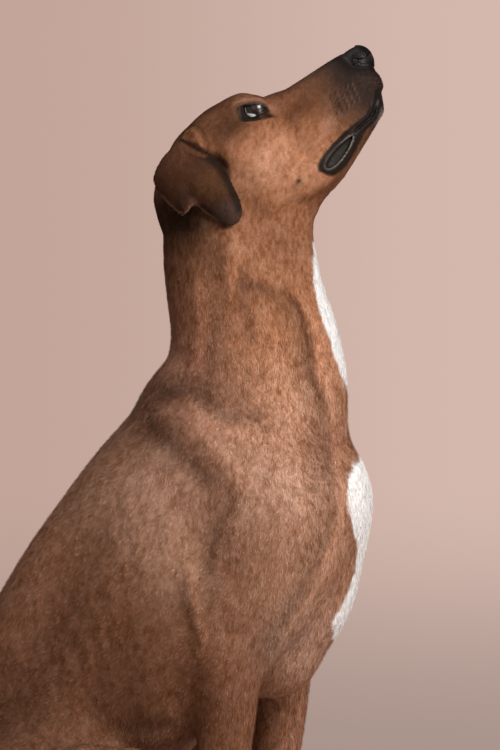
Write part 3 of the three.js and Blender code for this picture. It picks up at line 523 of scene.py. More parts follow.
def face(h, d):
    """Lids, lips, the fold at the corner of the mouth, brow, whisker pads and the bed of the nose."""
    m = mirrored(h)
    x, y, z = m.T
    d = d - 1.6 * bell(size_of(m - np.array([95, 25, 3])), 7)  # brow bump
    d = d - 1.2 * spot(x, z, MOLE, 2.6) * (y > 20)
    furrow = bell(y, 6) * step_up(40, 70, x) * step_up(112, 96, x) * step_up(-40, -15, z)  # down the brow
    d = d + 1.3 * furrow
    d = d + 1.0 * spot(x, z, (118, -52), 9, (1, 0.6)) * step_up(14, 26, y)  # hollow before the eye
    d = d - 0.9 * spot(x, z, (196, -70), 15, (1, 0.8)) * step_up(6, 12, y)  # whisker pad
    d = lips(m, d)
    near = np.nonzero(((m - EYE_AT) ** 2).sum(1) < SOCKET ** 2)[0]
    if len(near):
        d[near] = lids(m[near], d[near])
    return d + 0.9 * step_up(0.4, 1.6, into_leather(m))  # the skin draws back under the nose's leather


def lips(m, d):
    """Rolled edges over and under the mouth's slot, the pocket at its corner, and the upper lip's cleft."""
    x, y, z = m.T
    t = above_mouth(m)
    chin = 1 - 0.9 * step_up(196, 206, x)
    d = d - step_up(116, 128, x) * chin * (1.2 * bell(t - 3.0, 2.6) + 0.9 * bell(t + 3.0, 2.3))
    slot = np.maximum(np.abs(t) - 0.3, -d - 0.6 - 1.4 * chin)
    d = np.where(x > 160, smooth_max(d, -slot, 0.9 * step_up(160, 166, x) + 0.01), d)
    rho = from_pocket(m)
    pocket = 1.3 * bell(rho - 1.6, 2.4) - 2.6 * step_up(-0.4, -2.6, rho) + 0.5 * bell(rho + 0.2, 0.9)
    d = d - step_up(6, 12, y) * pocket
    return d + 1.5 * bell(y, 1.7) * step_up(196, 206, x) * step_up(-97, -92, z) * step_up(-60, -72, z)


def lids(m, d):
    """A layer over the eyeball, creased along the lids and at their corners, with the opening cut out."""
    e, _, w, ball = from_lids(m)
    upper = step_up(-2.0, 1.0, w)
    q = smooth_min(d, ball - EYE_RADIUS - 2.3, 4.0)
    q = q + (0.3 + 0.3 * upper) * bell(e - 5.6, 1.8)
    q = q - 0.35 * bell(e - 1.6, 1.3)
    for foot, corner in CORNERS:
        share, gap = along_line(m, on_eye(foot, 0, EYE_RADIUS + 1), corner)
        q = q + 0.9 * bell(size_of(gap), 1.6) * (1 - share)
    q = np.minimum(q, ball - EYE_RADIUS - LID_LEAST)
    return smooth_max(q, -e, 0.9)


def skin_field(p):
    """Distance from the dog's skin."""
    d = base_field(p)
    close = np.abs(d) < 30
    d[close] += pressed(p[close])
    rows = np.nonzero((p[:, 2] > 735) & (p[:, 0] > -20) & close)[0]  # round the head
    if len(rows):
        d[rows] = face(to_head(p[rows]), d[rows])
    d = d + coat_depth(p)
    rows = by_ears(p)
    if len(rows):
        q = p[rows]
        k = 1.0 + 9 * step_up(840, 864, q[:, 2]) * step_up(88, 60, q[:, 0])  # softer at the root
        d[rows] = smooth_min(d[rows], ear_leaf(q)[0], k)
    return smooth_max(d, -p[:, 2], 1.5)  # flat on the floor


POINTS_AT_ONCE = 400000  # held in memory while a field is read
CUBE = [np.array([c & 1, (c >> 1) & 1, c >> 2]) for c in range(8)]  # a cube's corners


def crossed_cells(inside):
    """The cells of a lattice whose eight corners aren't all on one side."""
    total = np.zeros([n - 1 for n in inside.shape], np.int8)
    for corner in CUBE:
        total += inside[tuple(slice(c, n - 1 + c) for c, n in zip(corner, inside.shape))]
    return np.argwhere((total > 0) & (total < 8))


def lattice_values(field, place, shape, size, block=4):
    """The field at each point of a lattice, read only in the blocks near its zero: those further off keep
    nothing but their side."""
    count = np.array(shape) // block + 1
    ids = np.stack(np.meshgrid(*[np.arange(c) for c in count], indexing="ij"), -1).reshape(-1, 3)
    middle = place(ids * block + block * 0.5 - 0.5)
    d = field(middle)
    near = np.abs(d) < size(middle) * block * 0.9 + 1.2  # half a block's diagonal and a little more
    value = np.where(d < 0, -9, 9).reshape(count).astype(np.float32)
    for axis in range(3):
        value = np.repeat(value, block, axis)
    inner = np.stack(np.meshgrid(*[np.arange(block)] * 3, indexing="ij"), -1).reshape(-1, 3)
    lattice = (ids[near][:, None] * block + inner).reshape(-1, 3)
    for part in np.array_split(lattice, max(1, len(lattice) // POINTS_AT_ONCE)):
        value[tuple(part.T)] = field(place(part.astype(float)))
    return value


def crossings(value, cells):
    """The mean of the places where the field is 0 on each cell's edges, in lattice numbers."""
    total, hits = np.zeros((len(cells), 3)), np.zeros(len(cells))
    for a in CUBE:
        for axis in np.nonzero(a == 0)[0]:
            b = a.copy()
            b[axis] = 1
            va, vb = value[tuple((cells + a).T)], value[tuple((cells + b).T)]
            cut = (va < 0) != (vb < 0)
            t = np.where(cut, va / np.where(cut, va - vb, 1), 0)
            total += np.where(cut[:, None], a + t[:, None] * (b - a), 0)
            hits += cut
    return cells + total / hits[:, None]


def net_quads(inside, number):
    """One quad across each crossed edge of the lattice, from the numbers of the four cells round it."""
    quads = []
    for axis in range(3):
        step, u, w = (np.eye(3, dtype=int)[(axis + k) % 3] for k in range(3))
        keep = tuple(slice(0, -1) if i == axis else slice(1, None) for i in range(3))
        ahead = tuple(slice(1, None) for _ in range(3))
        edge = np.argwhere(inside[keep] != inside[ahead]) + 1 - step
        ring = np.stack([number[tuple((edge + o).T)] for o in (-u - w, -w, 0 * u, -u)], 1)
        outwards = inside[tuple(edge.T)]
        ring[~outwards] = ring[~outwards][:, ::-1]
        quads.append(ring)
    quads = np.concatenate(quads)
    return quads[(quads >= 0).all(1)]


def surface_net(field, place, shape, size):
    """A mesh of the field's zero: one point in each crossed cell, at the mean of its edges' crossings and
    then moved down the field's slope, and one quad across each crossed edge, parted along its shorter
    diagonal."""
    value = lattice_values(field, place, shape, size)
    inside = value < 0
    cells = crossed_cells(inside)
    number = np.full(inside.shape, -1, np.int32)
    number[tuple(cells.T)] = np.arange(len(cells))
    points = place(crossings(value, cells))
    points, _ = settle(field, points, size(points) * 0.4)
    quads = net_quads(inside, number)
    a, b, c, d = (points[quads[:, k]] for k in range(4))
    short = (size_of(a - c) < size_of(b - d))[:, None]
    tris = np.where(short, quads[:, [0, 1, 2, 0, 2, 3]], quads[:, [0, 1, 3, 1, 2, 3]]).reshape(-1, 3)
    return points, tris


def settle(field, points, most):
    """Moves points down the field's slope to its zero, by at most so much, and gives their slopes too."""
    f = field(points)
    e = 0.45
    slope = np.stack([field(points + e * axis) - f for axis in np.eye(3)], 1) / e
    steep = np.maximum((slope * slope).sum(1), 0.15)
    move = np.clip(-f / steep, -most, most)
    return points + slope * move[:, None], slope


def make_mesh(name, points, tris):
    """A Blender object from points in these coordinates, in millimetres."""
    mesh = bpy.data.meshes.new(name)
    mesh.vertices.add(len(points))
    mesh.vertices.foreach_set("co", ((points + SHIFT) * 0.001).astype(np.float32).ravel())
    mesh.loops.add(tris.size)
    mesh.loops.foreach_set("vertex_index", tris.astype(np.int32).ravel())
    mesh.polygons.add(len(tris))
    mesh.polygons.foreach_set("loop_start", np.arange(0, tris.size, tris.shape[1], dtype=np.int32))
    mesh.update(calc_edges=True)
    mesh.polygons.foreach_set("use_smooth", np.ones(len(tris), bool))
    made = bpy.data.objects.new(name, mesh)
    bpy.context.scene.collection.objects.link(made)
    return made


def mesh_arrays(made):
    """Points in these coordinates, and triangles, of an object."""
    mesh = made.data
    co = np.empty(len(mesh.vertices) * 3, np.float32)
    mesh.vertices.foreach_get("co", co)
    tris = np.empty(len(mesh.loops), np.int32)
    mesh.loops.foreach_get("vertex_index", tris)
    return co.reshape(-1, 3).astype(float) * 1000 - SHIFT, tris.reshape(-1, 3)


# ---------------------------------------- the lattice: fine at the head, coarser below
COARSE, FINE = ((3.6, 1.45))
TOP = 975  # past the head's highest point
LATTICE = (330, 125)  # cells along X and Y
LATTICE_AT = (108.0, 200, 62)  # the X and the cells' numbers where the lattice doesn't widen


def cell_size(z):
    """How wide the cells are at a height."""
    return COARSE - (COARSE - FINE) * step_up(690, 775, z)


LEVELS = [-6.2]
while LEVELS[-1] < TOP:
    squeeze = 0.72 + 0.28 * step_up(40, 110, LEVELS[-1])  # flatter cells at the feet
    LEVELS.append(LEVELS[-1] + cell_size(LEVELS[-1]) * squeeze)


def lattice_place(n):
    """Where lattice numbers lie: the spacing shrinks towards the head, about a line up through the neck."""
    z = np.interp(n[:, 2], np.arange(len(LEVELS)), LEVELS)
    s = cell_size(z)
    middle, along, across = LATTICE_AT
    return np.stack([middle + (n[:, 0] - along) * s, (n[:, 1] - across) * s, z], 1)


def adaptive(made, target):
    """Thins a mesh to about the target count, most where it is flattest, and gives back points and
    triangles."""
    count = len(made.data.polygons)
    if count > target:
        thin = made.modifiers.new("thin", "DECIMATE")
        thin.ratio = target / count
        thin.use_collapse_triangulate = True
        solid = made.evaluated_get(bpy.context.evaluated_depsgraph_get())
        mesh = bpy.data.meshes.new_from_object(solid)
        old = made.data
        made.modifiers.clear()
        made.data = mesh
        bpy.data.meshes.remove(old)
    points, tris = mesh_arrays(made)
    old = made.data
    bpy.data.objects.remove(made)
    bpy.data.meshes.remove(old)
    return points, tris


# ---------------------------------------- the coat's colours
def linear(hex_colour):
    """An sRGB hex colour as the linear numbers that shaders use."""
    v = np.array([int(hex_colour[i:i + 2], 16) / 255 for i in (0, 2, 4)])
    return np.where(v <= 0.04045, v / 12.92, ((v + 0.055) / 1.055) ** 2.4)


def grain(p, size, seed):
    """Smooth noise between -1 and 1, from sine waves whose directions and phases are drawn from a seed."""
    rng = np.random.default_rng(seed)
    total = np.zeros(len(p))
    for _ in range(7):
        way = rng.normal(size=3)
        way *= 2 * math.pi / size / np.linalg.norm(way) * rng.uniform(0.6, 1.5)
        total += np.sin(p @ way + rng.uniform(0, 6.28))
    return np.clip(total / 3.4, -1, 1)


PRIMES = np.array([73856093, 19349663, 83492791])  # they scatter a grid place's numbers over the table


def speckle(p, size, seed, tall=1):
    """Smooth noise from -0.5 to 0.5: random numbers at the corners of a grid of boxes, eased across each
    box. The boxes are so many times as tall as they are wide."""
    q = p / (np.array([1, 1, tall]) * size) + 100.0
    cell = np.floor(q).astype(np.int64)
    t = step_up(0, 1, q - cell)
    table = np.random.default_rng(seed).random(4096)
    total = np.zeros(len(p))
    for corner in CUBE:
        k = (cell + corner) * PRIMES
        mixed = k[:, 0] ^ k[:, 1] ^ k[:, 2]
        total += table[mixed % len(table)] * np.where(corner, t, 1 - t).prod(1)
    return total - 0.5


RED = "9a6a4e"
# Soft patches on the body: colour, strength, middle, radii, and the slope of the patch in the side view.
BODY_PATCHES = [
    ("5a3823", 0.9, (8, 0, 735), (38, 80, 84), 0),  # back of the neck
    ("5a3823", 0.5, (66, 60, 733), (28, 60, 26), 0),
    ("140904", 0.97, (38, 0, 786), (52, 90, 42), 0),  # nape under the ear: darker fur with the ear's painted shadow
    # the ear's painted shadow on the side of the neck, over darker fur
    ("0f0703", 0.9, (54, 60, 772), (30, 50, 22), 0),
    ("ac7654", 0.85, (160, 40, 655), (60, 60, 110), 0),  # side of the throat
    ("a8745a", 0.9, (50, 60, 636), (28, 70, 62), 0),  # side of the neck's back: paler, a painted light where it turns away from the lamps
    ("cb9674", 0.8, (178, 40, 594), (36, 60, 62), 0),  # beside the windpipe
    # painted shade on the throat under the jaw
    ("7d5037", 0.5, (168, 40, 750), (40, 60, 34), 0),
    ("aa7b60", 0.75, (130, 90, 520), (90, 70, 70), 0),  # shoulder
    ("a27a66", 0.5, (10, 60, 556), (70, 60, 60), 54),  # withers
    ("4a2d1d", 0.5, (44, 60, 586), (40, 70, 16), 0),  # painted shade in the crease at the neck's base
    ("3e2617", 0.75, (-20, 60, 590), (60, 60, 60), 54),
    # painted shade behind the shoulder blade, on the side turned from the light
    ("412718", 0.6, (14, 85, 545), (36, 60, 26), 54),
    ("80593f", 0.8, (-20, 95, 400), (90, 60, 110), 54),  # ribs
    ("96715a", 0.5, (-38, 85, 467), (46, 60, 44), 54),
    ("bb9078", 0.6, (32, 90, 470), (46, 60, 44), 54),
    ("c79c82", 0.55, (163, 80, 470), (46, 60, 46), 0),
    ("7d5038", 0.5, (212, 40, 533), (24, 60, 32), 0),
    ("6a4431", 0.6, (146, 80, 313), (26, 60, 34), 0),
    ("ab7f63", 0.85, (52, 90, 392), (50, 60, 50), 20),
    ("bd8d6e", 0.65, (188, 70, 392), (46, 60, 60), 0),
    # painted highlight on the fold of loose skin before the armpit
    ("c29c84", 0.9, (184, 60, 315), (36, 60, 42), 0),
    ("5f3c28", 0.8, (10, 100, 300), (70, 60, 80), 0),
    ("8a6650", 0.6, (-40, 0, 560), (90, 50, 50), 54),  # back: greyer, a painted sheen from above
    ("472c1e", 0.88, (-150, 90, 230), (110, 80, 130), 0),  # flank and croup
    # painted shade above the knee, under the belly
    ("3f2617", 0.65, (10, 110, 228), (50, 60, 44), 0),
    ("5a3824", 0.9, (100, 80, 236), (50, 50, 80), 0),  # forearm
    ("8a6048", 0.6, (170, 50, 330), (40, 50, 50), 0),  # before the armpit
    ("7a5238", 0.6, (110, 80, 120), (60, 50, 70), 0),
    ("74503b", 0.6, (-20, 120, 130), (80, 50, 60), 0),
    ("5b3826", 0.7, (-420, 0, 10), (110, 160, 40), 0),  # tail's end
    ("b08d75", 0.5, (-110, 0, 40), (90, 60, 60), 0),  # pale under the seat
]


def patched(base, p, patches):
    """Colours with soft patches laid over them: each fades as exp of minus the squared distance over its
    radii."""
    for colour, strength, middle, radii, pitch in patches:
        q = tilted(p - np.array(middle, float), math.radians(pitch)) / np.array(radii, float)
        base = over(base, colour, strength * np.exp(-(q * q).sum(1)))
    return base


def over(base, colour, share):
    """Colours with another, a hex or one for each point, laid over them by its share."""
    tint = linear(colour) if isinstance(colour, str) else colour
    share = np.clip(share, 0, 1)[:, None]
    return base * (1 - share) + tint * share


HEAD_PATCHES = [
    ("361e11", 0.97, (26, 0, 0), (72, 60, 34), 0),  # top of the skull
    ("47291a", 0.9, (90, 0, 6), (50, 40, 20), 0),
    ("38231a", 0.96, (156, 0, -24), (76, 30, 24), 0),  # bridge
    ("351d10", 0.92, (62, 44, -30), (34, 26, 27), 0),  # between eye and ear
    ("ae7f63", 0.95, (76, 52, -88), (46, 30, 26), 0),  # cheek
    ("aa7a5e", 0.8, (96, 30, -118), (40, 30, 20), 0),  # lower cheek
    ("5a351f", 0.92, (136, 26, -56), (34, 26, 17), 4),  # side of the muzzle
    ("5c3a27", 0.5, (114, 40, -44), (22, 20, 8), 0),  # darker before the eye
    ("c08c72", 0.6, (150, 26, -92), (26, 20, 8), 14),  # paler over the lip
    ("5f3b28", 0.75, (116, 0, -150), (70, 24, 20), 0),  # painted shade under the jaw
]


def mottled(base, mottle):
    """Darker and more saturated where mottle is below 0, paler and greyer where it is above."""
    low, high = np.clip(-mottle, 0, 1)[:, None], np.clip(mottle, 0, 1)[:, None]
    base = base * (1 - low * np.array([0.36, 0.46, 0.56]))
    grey = base.mean(1, keepdims=True)
    return base * (1 - 0.34 * high) + 0.34 * high * (0.5 * base + 0.62 * grey) + 0.30 * high * base


# Where whiskers grow in the head's side view, with the row down the pad and the place back along it.
WHISKER_BEDS = [(row, k, 197 - 6.5 * k - 1.5 * row, -70 - 6.0 * row + 0.6 * k)
                for row in range(4) for k in range(5)]
# The blaze's border: heights, and how far forward it lies there; past 250 there is no blaze.
BLAZE = np.array([[250, 400], [318, 205], [335, 204], [363, 220.8], [390, 230], [418, 232.9], [445, 225],
                  [473, 220.8], [498, 223.6], [511, 232], [522, 242], [530, 400], [580, 400], [587, 222],
                  [610, 212.4], [638, 203], [665, 194], [693, 184.2], [734, 182.3], [753, 182.8], [764, 400]])
# Borders are drawn as seen from a little to the front, so one that is |Y| to the side lies this share of it
# further forward.
LEAN = 0.2126
# Places along the mouth, and how far the dark lips reach over and under it.
LIP_EDGE = np.array([[150, 7.6, 6.4], [165, 6.6, 6.2], [178, 5.2, 6.6], [190, 4.8, 5.6], [202, 3.8, 5.2],
                     [214, 3.0, 6.0]])


def markings(p):
    """The coat's colour, and how bare the skin is (1 on lips and lids), from smooth functions of the place
    alone."""
    m = mirrored(p)
    z = m[:, 2]
    base = patched(np.tile(linear(RED), (len(p), 1)), m, BODY_PATCHES)
    grey = base.mean(1, keepdims=True)
    base = over(base, grey, 0.1 * step_up(0.06, 0.2, grey[:, 0]) * step_up(660, 560, z))  # greyer where palest: a painted sheen on the lit coat
    h = mirrored(to_head(p))
    on_head = step_up(-30, 20, h[:, 0]) * step_up(770, 800, z)
    base = over(base, patched(np.tile(linear("9b6747"), (len(p), 1)), h, HEAD_PATCHES), on_head)
    pale = blaze(p, m)
    base = over(base, "ecebeb", pale * 0.98)
    # the coat isn't even: greyer, paler locks among more saturated ones, at three sizes, drawn out downwards
    mottle = 0.5 * speckle(p, 13, 41, 1.7) + 1.2 * speckle(p, 4.2, 42, 2.0)
    mottle += 1.9 * speckle(p, 2.1, 43, 2.0)
    base = np.where((pale < 0.5)[:, None], mottled(base, mottle * (1 - 0.2 * on_head)), base)
    # painted shade: darker in the folds' hollows, and a little paler, a painted light, on the ridges that
    # stand out
    painted_fold_shading = np.clip(pressed(p), -0.6, 6) * (1 - 0.5 * pale)
    base = base * np.exp(-0.15 * painted_fold_shading)[:, None]
    base = over(base, "b08a70", 0.5 * step_up(46, 12, z) * step_up(-60, 0, m[:, 0]))  # paler toes
    base = muzzle_marks(base, p, h, on_head)
    bare = np.zeros(len(p))
    near = by_ears(p)
    if len(near):
        base[near], bare[near] = ear_marks(base[near], m[near], p[near])
    rows = np.nonzero(on_head > 0.5)[0]
    if len(rows):
        base[rows], bare[rows] = face_marks(base[rows], bare[rows], h[rows])
    return base, bare


def blaze(p, m):
    """The pale blaze: a thin strip down the throat, then a wide one on the chest, bounded in the side view.
    It isn't even: its border is ragged, and it is wider on the dog's left."""
    x, y, z = m.T
    edge = np.interp(z, BLAZE[:, 0], BLAZE[:, 1])
    ragged = 3.2 * speckle(p, 7, 31, 2.2) + 2.4 * speckle(p, 2.2, 32, 3)
    ahead = x - LEAN * y - edge + ragged + 30 * step_up(0, 26, p[:, 1])
    return step_up(-1.6, 1.6, ahead) * step_up(70, 55, y) * (x > 140)


def muzzle_marks(base, p, h, on_head):
    """The muzzle, darker towards the nose, with pale hairs on the chin, a mole, and dots where whiskers
    grow."""
    x, y, z = h.T
    reach = x + 0.10 * (z + 60) + 7 * speckle(p, 9, 51) + 4 * speckle(p, 3, 52)
    marks = [("573c2c", 0.85 * step_up(128, 176, reach)), ("2c221f", 0.94 * step_up(162, 198, reach)),
             ("17110f", 0.92 * step_up(-15, -1, into_leather(h))),
             ("9a8f88", 0.75 * spot(x, z, (199, -118), 8) * step_up(18, 8, y)),
             ("2a1c16", 0.85 * spot(x, z, MOLE, 3.0) * (y > 20))]
    for _, _, bed_x, bed_z in WHISKER_BEDS:
        down, along = (x - bed_x) * 0.6 + (z - bed_z) * 0.8, (x - bed_x) * 0.8 - (z - bed_z) * 0.6
        marks += [("7a5c4d", 0.45 * spot(along, down, (1.9, 0), 1.1, (1, 0.4)) * (y > 12)),  # paler beside it
                  ("1d120c", 0.7 * spot(along, down, (0, 0), 1.1, (1, 0.32)) * (y > 12))]
    marks.append(("3a2318", 0.8 * spot(x, z, (172, -82), 3.2, (0.8, 0.35)) * (y > 12)))
    for colour, share in marks:
        base = over(base, colour, share * on_head)
    return base


def ear_marks(base, m, q):
    """The ears' own colours, paler on the inner side, with painted highlights on a fold and on the curled
    lower rim, and a painted shadow in the gap over their free front edge.
    """
    x, y, z = m.T
    leaf, edge, off = ear_leaf(q)
    on = step_up(3.0, 0.8, leaf) * step_up(870, 850, z)
    tone = np.tile(linear("3d2416"), (len(q), 1))
    for colour, share in (
            ("5f3f29", 0.75 * spot(x, z, (82, 812), 21)), ("5e3c27", 0.6 * spot(x, z, (45, 842), 16)),
            ("4b3a33", 0.75 * step_up(803, 782, z - 0.35 * (x - 90)) * step_up(70, 92, x)),
            ("20140e", 0.9 * step_up(-10, -3.5, edge) * step_up(62, 76, x) * step_up(775, 790, z)),
            # painted highlight on the curled rim of the lower edge
            ("8a6a55", 0.75 * step_up(-3.0, -0.6, edge) * step_up(96, 84, x) * step_up(812, 796, z)),
            # painted highlight on a small fold of the ear
            ("8d6355", 0.8 * spot(x, z, (64, 794), 4.5, (1, 0.8))),
            ("33211a", 0.7 * spot(x, z, (50, 797), 9))):
        tone = over(tone, colour, share)
    tone = mottled(tone, 0.9 * speckle(q, 5, 45, 2) + 0.7 * speckle(q, 2, 46, 2))
    inner = step_up(0.2, -1.2, off)
    tone = over(tone, "6f5247", 0.8 * inner)
    base = over(base, tone, on)
    across = x - LEAN * (y - 50)  # where the point shows in the side view
    below = np.interp(across, *np.array(EAR_CREASE).T) - z
    root = step_up(0, 1.5, below) * step_up(34, 24, below) * step_up(38, 44, y) * (1 - on)
    base = over(base, "4a2c1a", 0.85 * root * step_up(40, 46, across) * step_up(104, 98, across))
    # painted shadow in the gap over the ear's free front edge
    crease = bell(EAR_GAP(np.stack([across, 0 * x, z], 1)), 2.7) * step_up(824, 834, z) * step_up(30, 36, y)
    return over(base, "120905", 0.95 * crease), 0.5 * on * inner


def face_marks(base, bare, q):
    """Black lips, the wet pocket at the corner of the mouth with its painted highlights and sheen, the lids'
    dark edges and lashes, and the nose's bed."""
    x, y, _ = q.T
    t, rho = above_mouth(q), from_pocket(q)
    wob = 1.1 * speckle(q, 4, 61)
    over_it, under_it = (np.interp(x, LIP_EDGE[:, 0], LIP_EDGE[:, k]) for k in (1, 2))
    lip = step_up(1.6, -0.6, np.maximum(t - over_it, -t - under_it) + wob) * step_up(146, 156, x) * (x < 224)
    lip *= step_up(235, 228, x + 0.2 * y)
    side = step_up(8, 14, y)
    lip = np.maximum(lip, step_up(8.4, 5.2, rho + 1.8 * wob) * side)
    turn = np.arctan2(q[:, 2] - POCKET["z"], x - POCKET["x"])
    lower = step_up(-0.5, 0.3, np.cos(turn + 0.9))  # painted highlight where the rim turns up to the light, below and before
    e, u, w, r = from_lids(q)
    round_eye = r < SOCKET + 1
    upper = step_up(-2.0, 2.0, w)
    frayed = 1.2 * speckle(q, 2.5, 62) + 0.8 * speckle(q, 1.2, 63)
    hairy = e + 1.5 * frayed
    rim = step_up(1.7, 0.6, e + 0.5 * frayed) * round_eye
    for foot, corner in CORNERS:
        share, gap = along_line(q, on_eye(foot, 0, EYE_RADIUS), corner)
        rim = np.maximum(rim, step_up(1.5, 0.6, size_of(gap) + 1.8 * share))
    leather = step_up(-1.5, 0.5, into_leather(q))
    for colour, share in (
            ("191412", lip * 0.97),
            # painted highlights on the pocket's wet rim: a soft grey band above and behind, a thin light line
            # below and before
            ("4d4a47", 0.55 * bell(rho - 0.8, 1.0) * (1 - lower) * side),
            ("8b8784", 0.8 * bell(rho - 0.1, 0.5) * lower * side),
            ("1d1916", step_up(-0.7, -1.4, rho) * side),
            ("28241c", 0.5 * step_up(-2.6, -4.4, rho) * side),  # painted sheen on the wet lining, in the pocket's middle
            ("8c6857", 0.5 * bell(e - 8, 3.4) * upper * round_eye),  # pinkish skin of the brow
            ("5c4331", 0.55 * step_up(9.0, 4.0, hairy) * step_up(17, 12, u) * round_eye),
            ("54443a", 0.7 * step_up(5.0, 2.2, hairy) * upper * round_eye),  # upper lashes
            ("34220f", 0.85 * step_up(3.4, 1.4, hairy) * (1 - upper) * step_up(15, 11, u) * round_eye),
            ("1b110c", 0.95 * spot(u, w, (8.0, -6.0), 5.4) * round_eye),  # before the lower lid
            ("150f0c", rim * 0.97), ("1c1918", leather)):
        base = over(base, colour, share)
    return base, np.maximum.reduce([bare, lip, rim, leather])


# ---------------------------------------- the lie of the coat
LIE = [  # place on the dog's left, direction, reach
    ((40, 30, 790), (-0.15, 0.1, -1), 60), ((30, 30, 720), (-0.05, 0.1, -1), 70),
    ((150, 30, 740), (0.1, 0.1, -1), 60), ((190, 10, 640), (0.15, 0.1, -1), 70),
    ((100, 70, 700), (0.02, 0.0, -1), 70), ((100, 80, 620), (-0.05, 0.1, -1), 70),
    ((30, 40, 610), (-0.4, 0.2, -1), 70), ((-40, 20, 520), (-0.62, 0.1, -0.8), 80),
    ((-110, 20, 420), (-0.5, 0.1, -0.9), 80), ((-170, 20, 320), (-0.25, 0.1, -1), 80),
    ((60, 95, 520), (-0.2, 0.0, -1), 80), ((130, 90, 460), (-0.05, 0.0, -1), 70),
    ((240, 10, 480), (0.1, 0.35, -1), 60), ((220, 20, 360), (-0.3, 0.2, -1), 60),
    ((190, 60, 400), (-0.2, -0.1, -1), 60), ((20, 100, 420), (-0.55, 0.0, -0.85), 80),
    ((-50, 95, 330), (-0.6, 0.05, -0.8), 80), ((60, 70, 290), (-0.7, 0.0, -0.6), 60),
    ((120, 80, 320), (-0.25, 0.0, -1), 50), ((115, 78, 220), (-0.12, 0.0, -1), 60),
    ((112, 72, 120), (-0.05, 0.0, -1), 60), ((140, 70, 30), (1.0, 0.0, -0.35), 40),
    ((-140, 90, 240), (-0.45, 0.0, -0.9), 80), ((-60, 115, 190), (-0.3, 0.1, -1), 70),
    ((10, 122, 180), (-0.1, 0.1, -1), 50), ((-20, 120, 110), (-0.7, 0.05, -0.7), 50),
    ((-110, 117, 60), (-0.8, 0.0, -0.6), 50), ((-190, 40, 90), (-0.3, 0.1, -1), 60),
    ((-60, 118, 20), (1.0, 0.0, -0.1), 45), ((10, 122, 25), (1.0, 0.05, -0.3), 40),
    ((150, 20, 800), (-0.6, 0.1, -0.8), 45), ((90, 55, 790), (-0.4, 0.1, -1), 40),
]


def lie_of_coat(p, n, ear_on):
    """Unit directions along the skin in which the coat lies: a blend of the directions at known places, with
    the head's own running back from the nose, the ear's from root to tip, and the tail's along it."""
    m = mirrored(p)
    total = np.zeros_like(p)
    for at, way, reach in LIE:
        w = np.exp(-((m - np.array(at, float)) ** 2).sum(1) / (2 * (reach * 0.62) ** 2)) + 1e-12
        total += w[:, None] * unit(way)
    total /= size_of(total)[:, None] + 1e-9
    h = mirrored(to_head(p))
    ones = np.ones(len(p))
    out = 0.15 + 0.35 * step_up(60, 110, h[:, 0])
    down = -0.12 - 0.5 * step_up(-30, -100, h[:, 2])
    back = head_dir(np.stack([-ones, out, down], 1))
    total = over(total, back, step_up(-25, 35, h[:, 0]) * step_up(760, 800, p[:, 2]))
    root_to_tip = np.stack([0.18 + 0.5 * step_up(60, 100, m[:, 0]), 0.1 * ones, -ones], 1)
    total = over(total, root_to_tip, ear_on)
    total[:, 1] *= np.sign(p[:, 1])
    tail = np.array(TAIL)[:, :3]
    on_tail = 6 * step_up(-236, -262, p[:, 0])
    for a, b in zip(tail[:-1], tail[1:]):
        near = np.exp(-((p - (a + b) / 2) ** 2).sum(1) / (2 * 30.0 ** 2))
        total += (on_tail * near)[:, None] * unit(b - a)
    return swung(along_skin(total, n), n, 0.22 * grain(p, 55, 8) + 0.12 * grain(p, 18, 9))


def along_skin(v, n):
    """Vectors without their share along n, made 1 long."""
    v = v - n * (v * n).sum(1, keepdims=True)
    return v / (size_of(v)[:, None] + 1e-9)


def swung(v, n, turn):
    """Directions square to n, turned about it."""
    return v * np.cos(turn)[:, None] + np.cross(n, v) * np.sin(turn)[:, None]


# ---------------------------------------- an unwrap of the skin's own shape
# Each part of the body is unrolled about a line through it: the turn about the line runs across its panel and
# the way along the line runs up it.
LINES = [(from_head((-10, 0, -60)), from_head((110, 0, -60))),
         (from_head((110, 0, -75)), from_head((235, 0, -75))),
         ((85, 0, 800), (110, 0, 600)), ((90, 0, 600), (60, 0, 300)), ((20, 0, 430), (-180, 0, 60)),
         ((-200, 0, 150), (-300, 0, 40)), ((-300, 0, 30), (-475, -140, 8))]
for side, foot in STEP.items():
    LINES += [(flipped(a, side), flipped(b, side)) for a, b in (
        ((foot, 78, 300), (foot, 70, 50)), ((foot - 6, 69, 26), (foot + 60, 70, 16)),
        ((-170, 90, 120), (40, KNEE_SPREAD, 170)), ((20, 121, 140), (-150, 117, 30)),
        ((-150, 116, 14), (40, 122, 14)))]
LINES = [(np.array(a, float), np.array(b, float)) for a, b in LINES]
PANEL = (0.176, 0.226)  # width and height of a line's panel
PANEL_GAP = 0.012
EAR_PANELS = [(0.412 + 0.15 * k, 0.762) for k in range(4)]  # left outer and inner side, right outer and inner
EAR_PARTS = 100  # past the lines' numbers


def part_of(p):
    """Which unrolled part each point belongs to: the nearest line, or past them the ears' sides."""
    best, which = np.full(len(p), 1e9), np.zeros(len(p), int)
    for i, (a, b) in enumerate(LINES):
        _, gap = along_line(p, a, b)
        d = (gap ** 2).sum(1)
        closer = d < best
        best, which = np.where(closer, d, best), np.where(closer, i, which)
    near = by_ears(p)
    if len(near):
        leaf, _, off = ear_leaf(p[near])
        on = np.nonzero(leaf < 1.6)[0]
        which[near[on]] = EAR_PARTS + 2 * (p[near[on], 1] < 0) + (off[on] < 0)
    return which


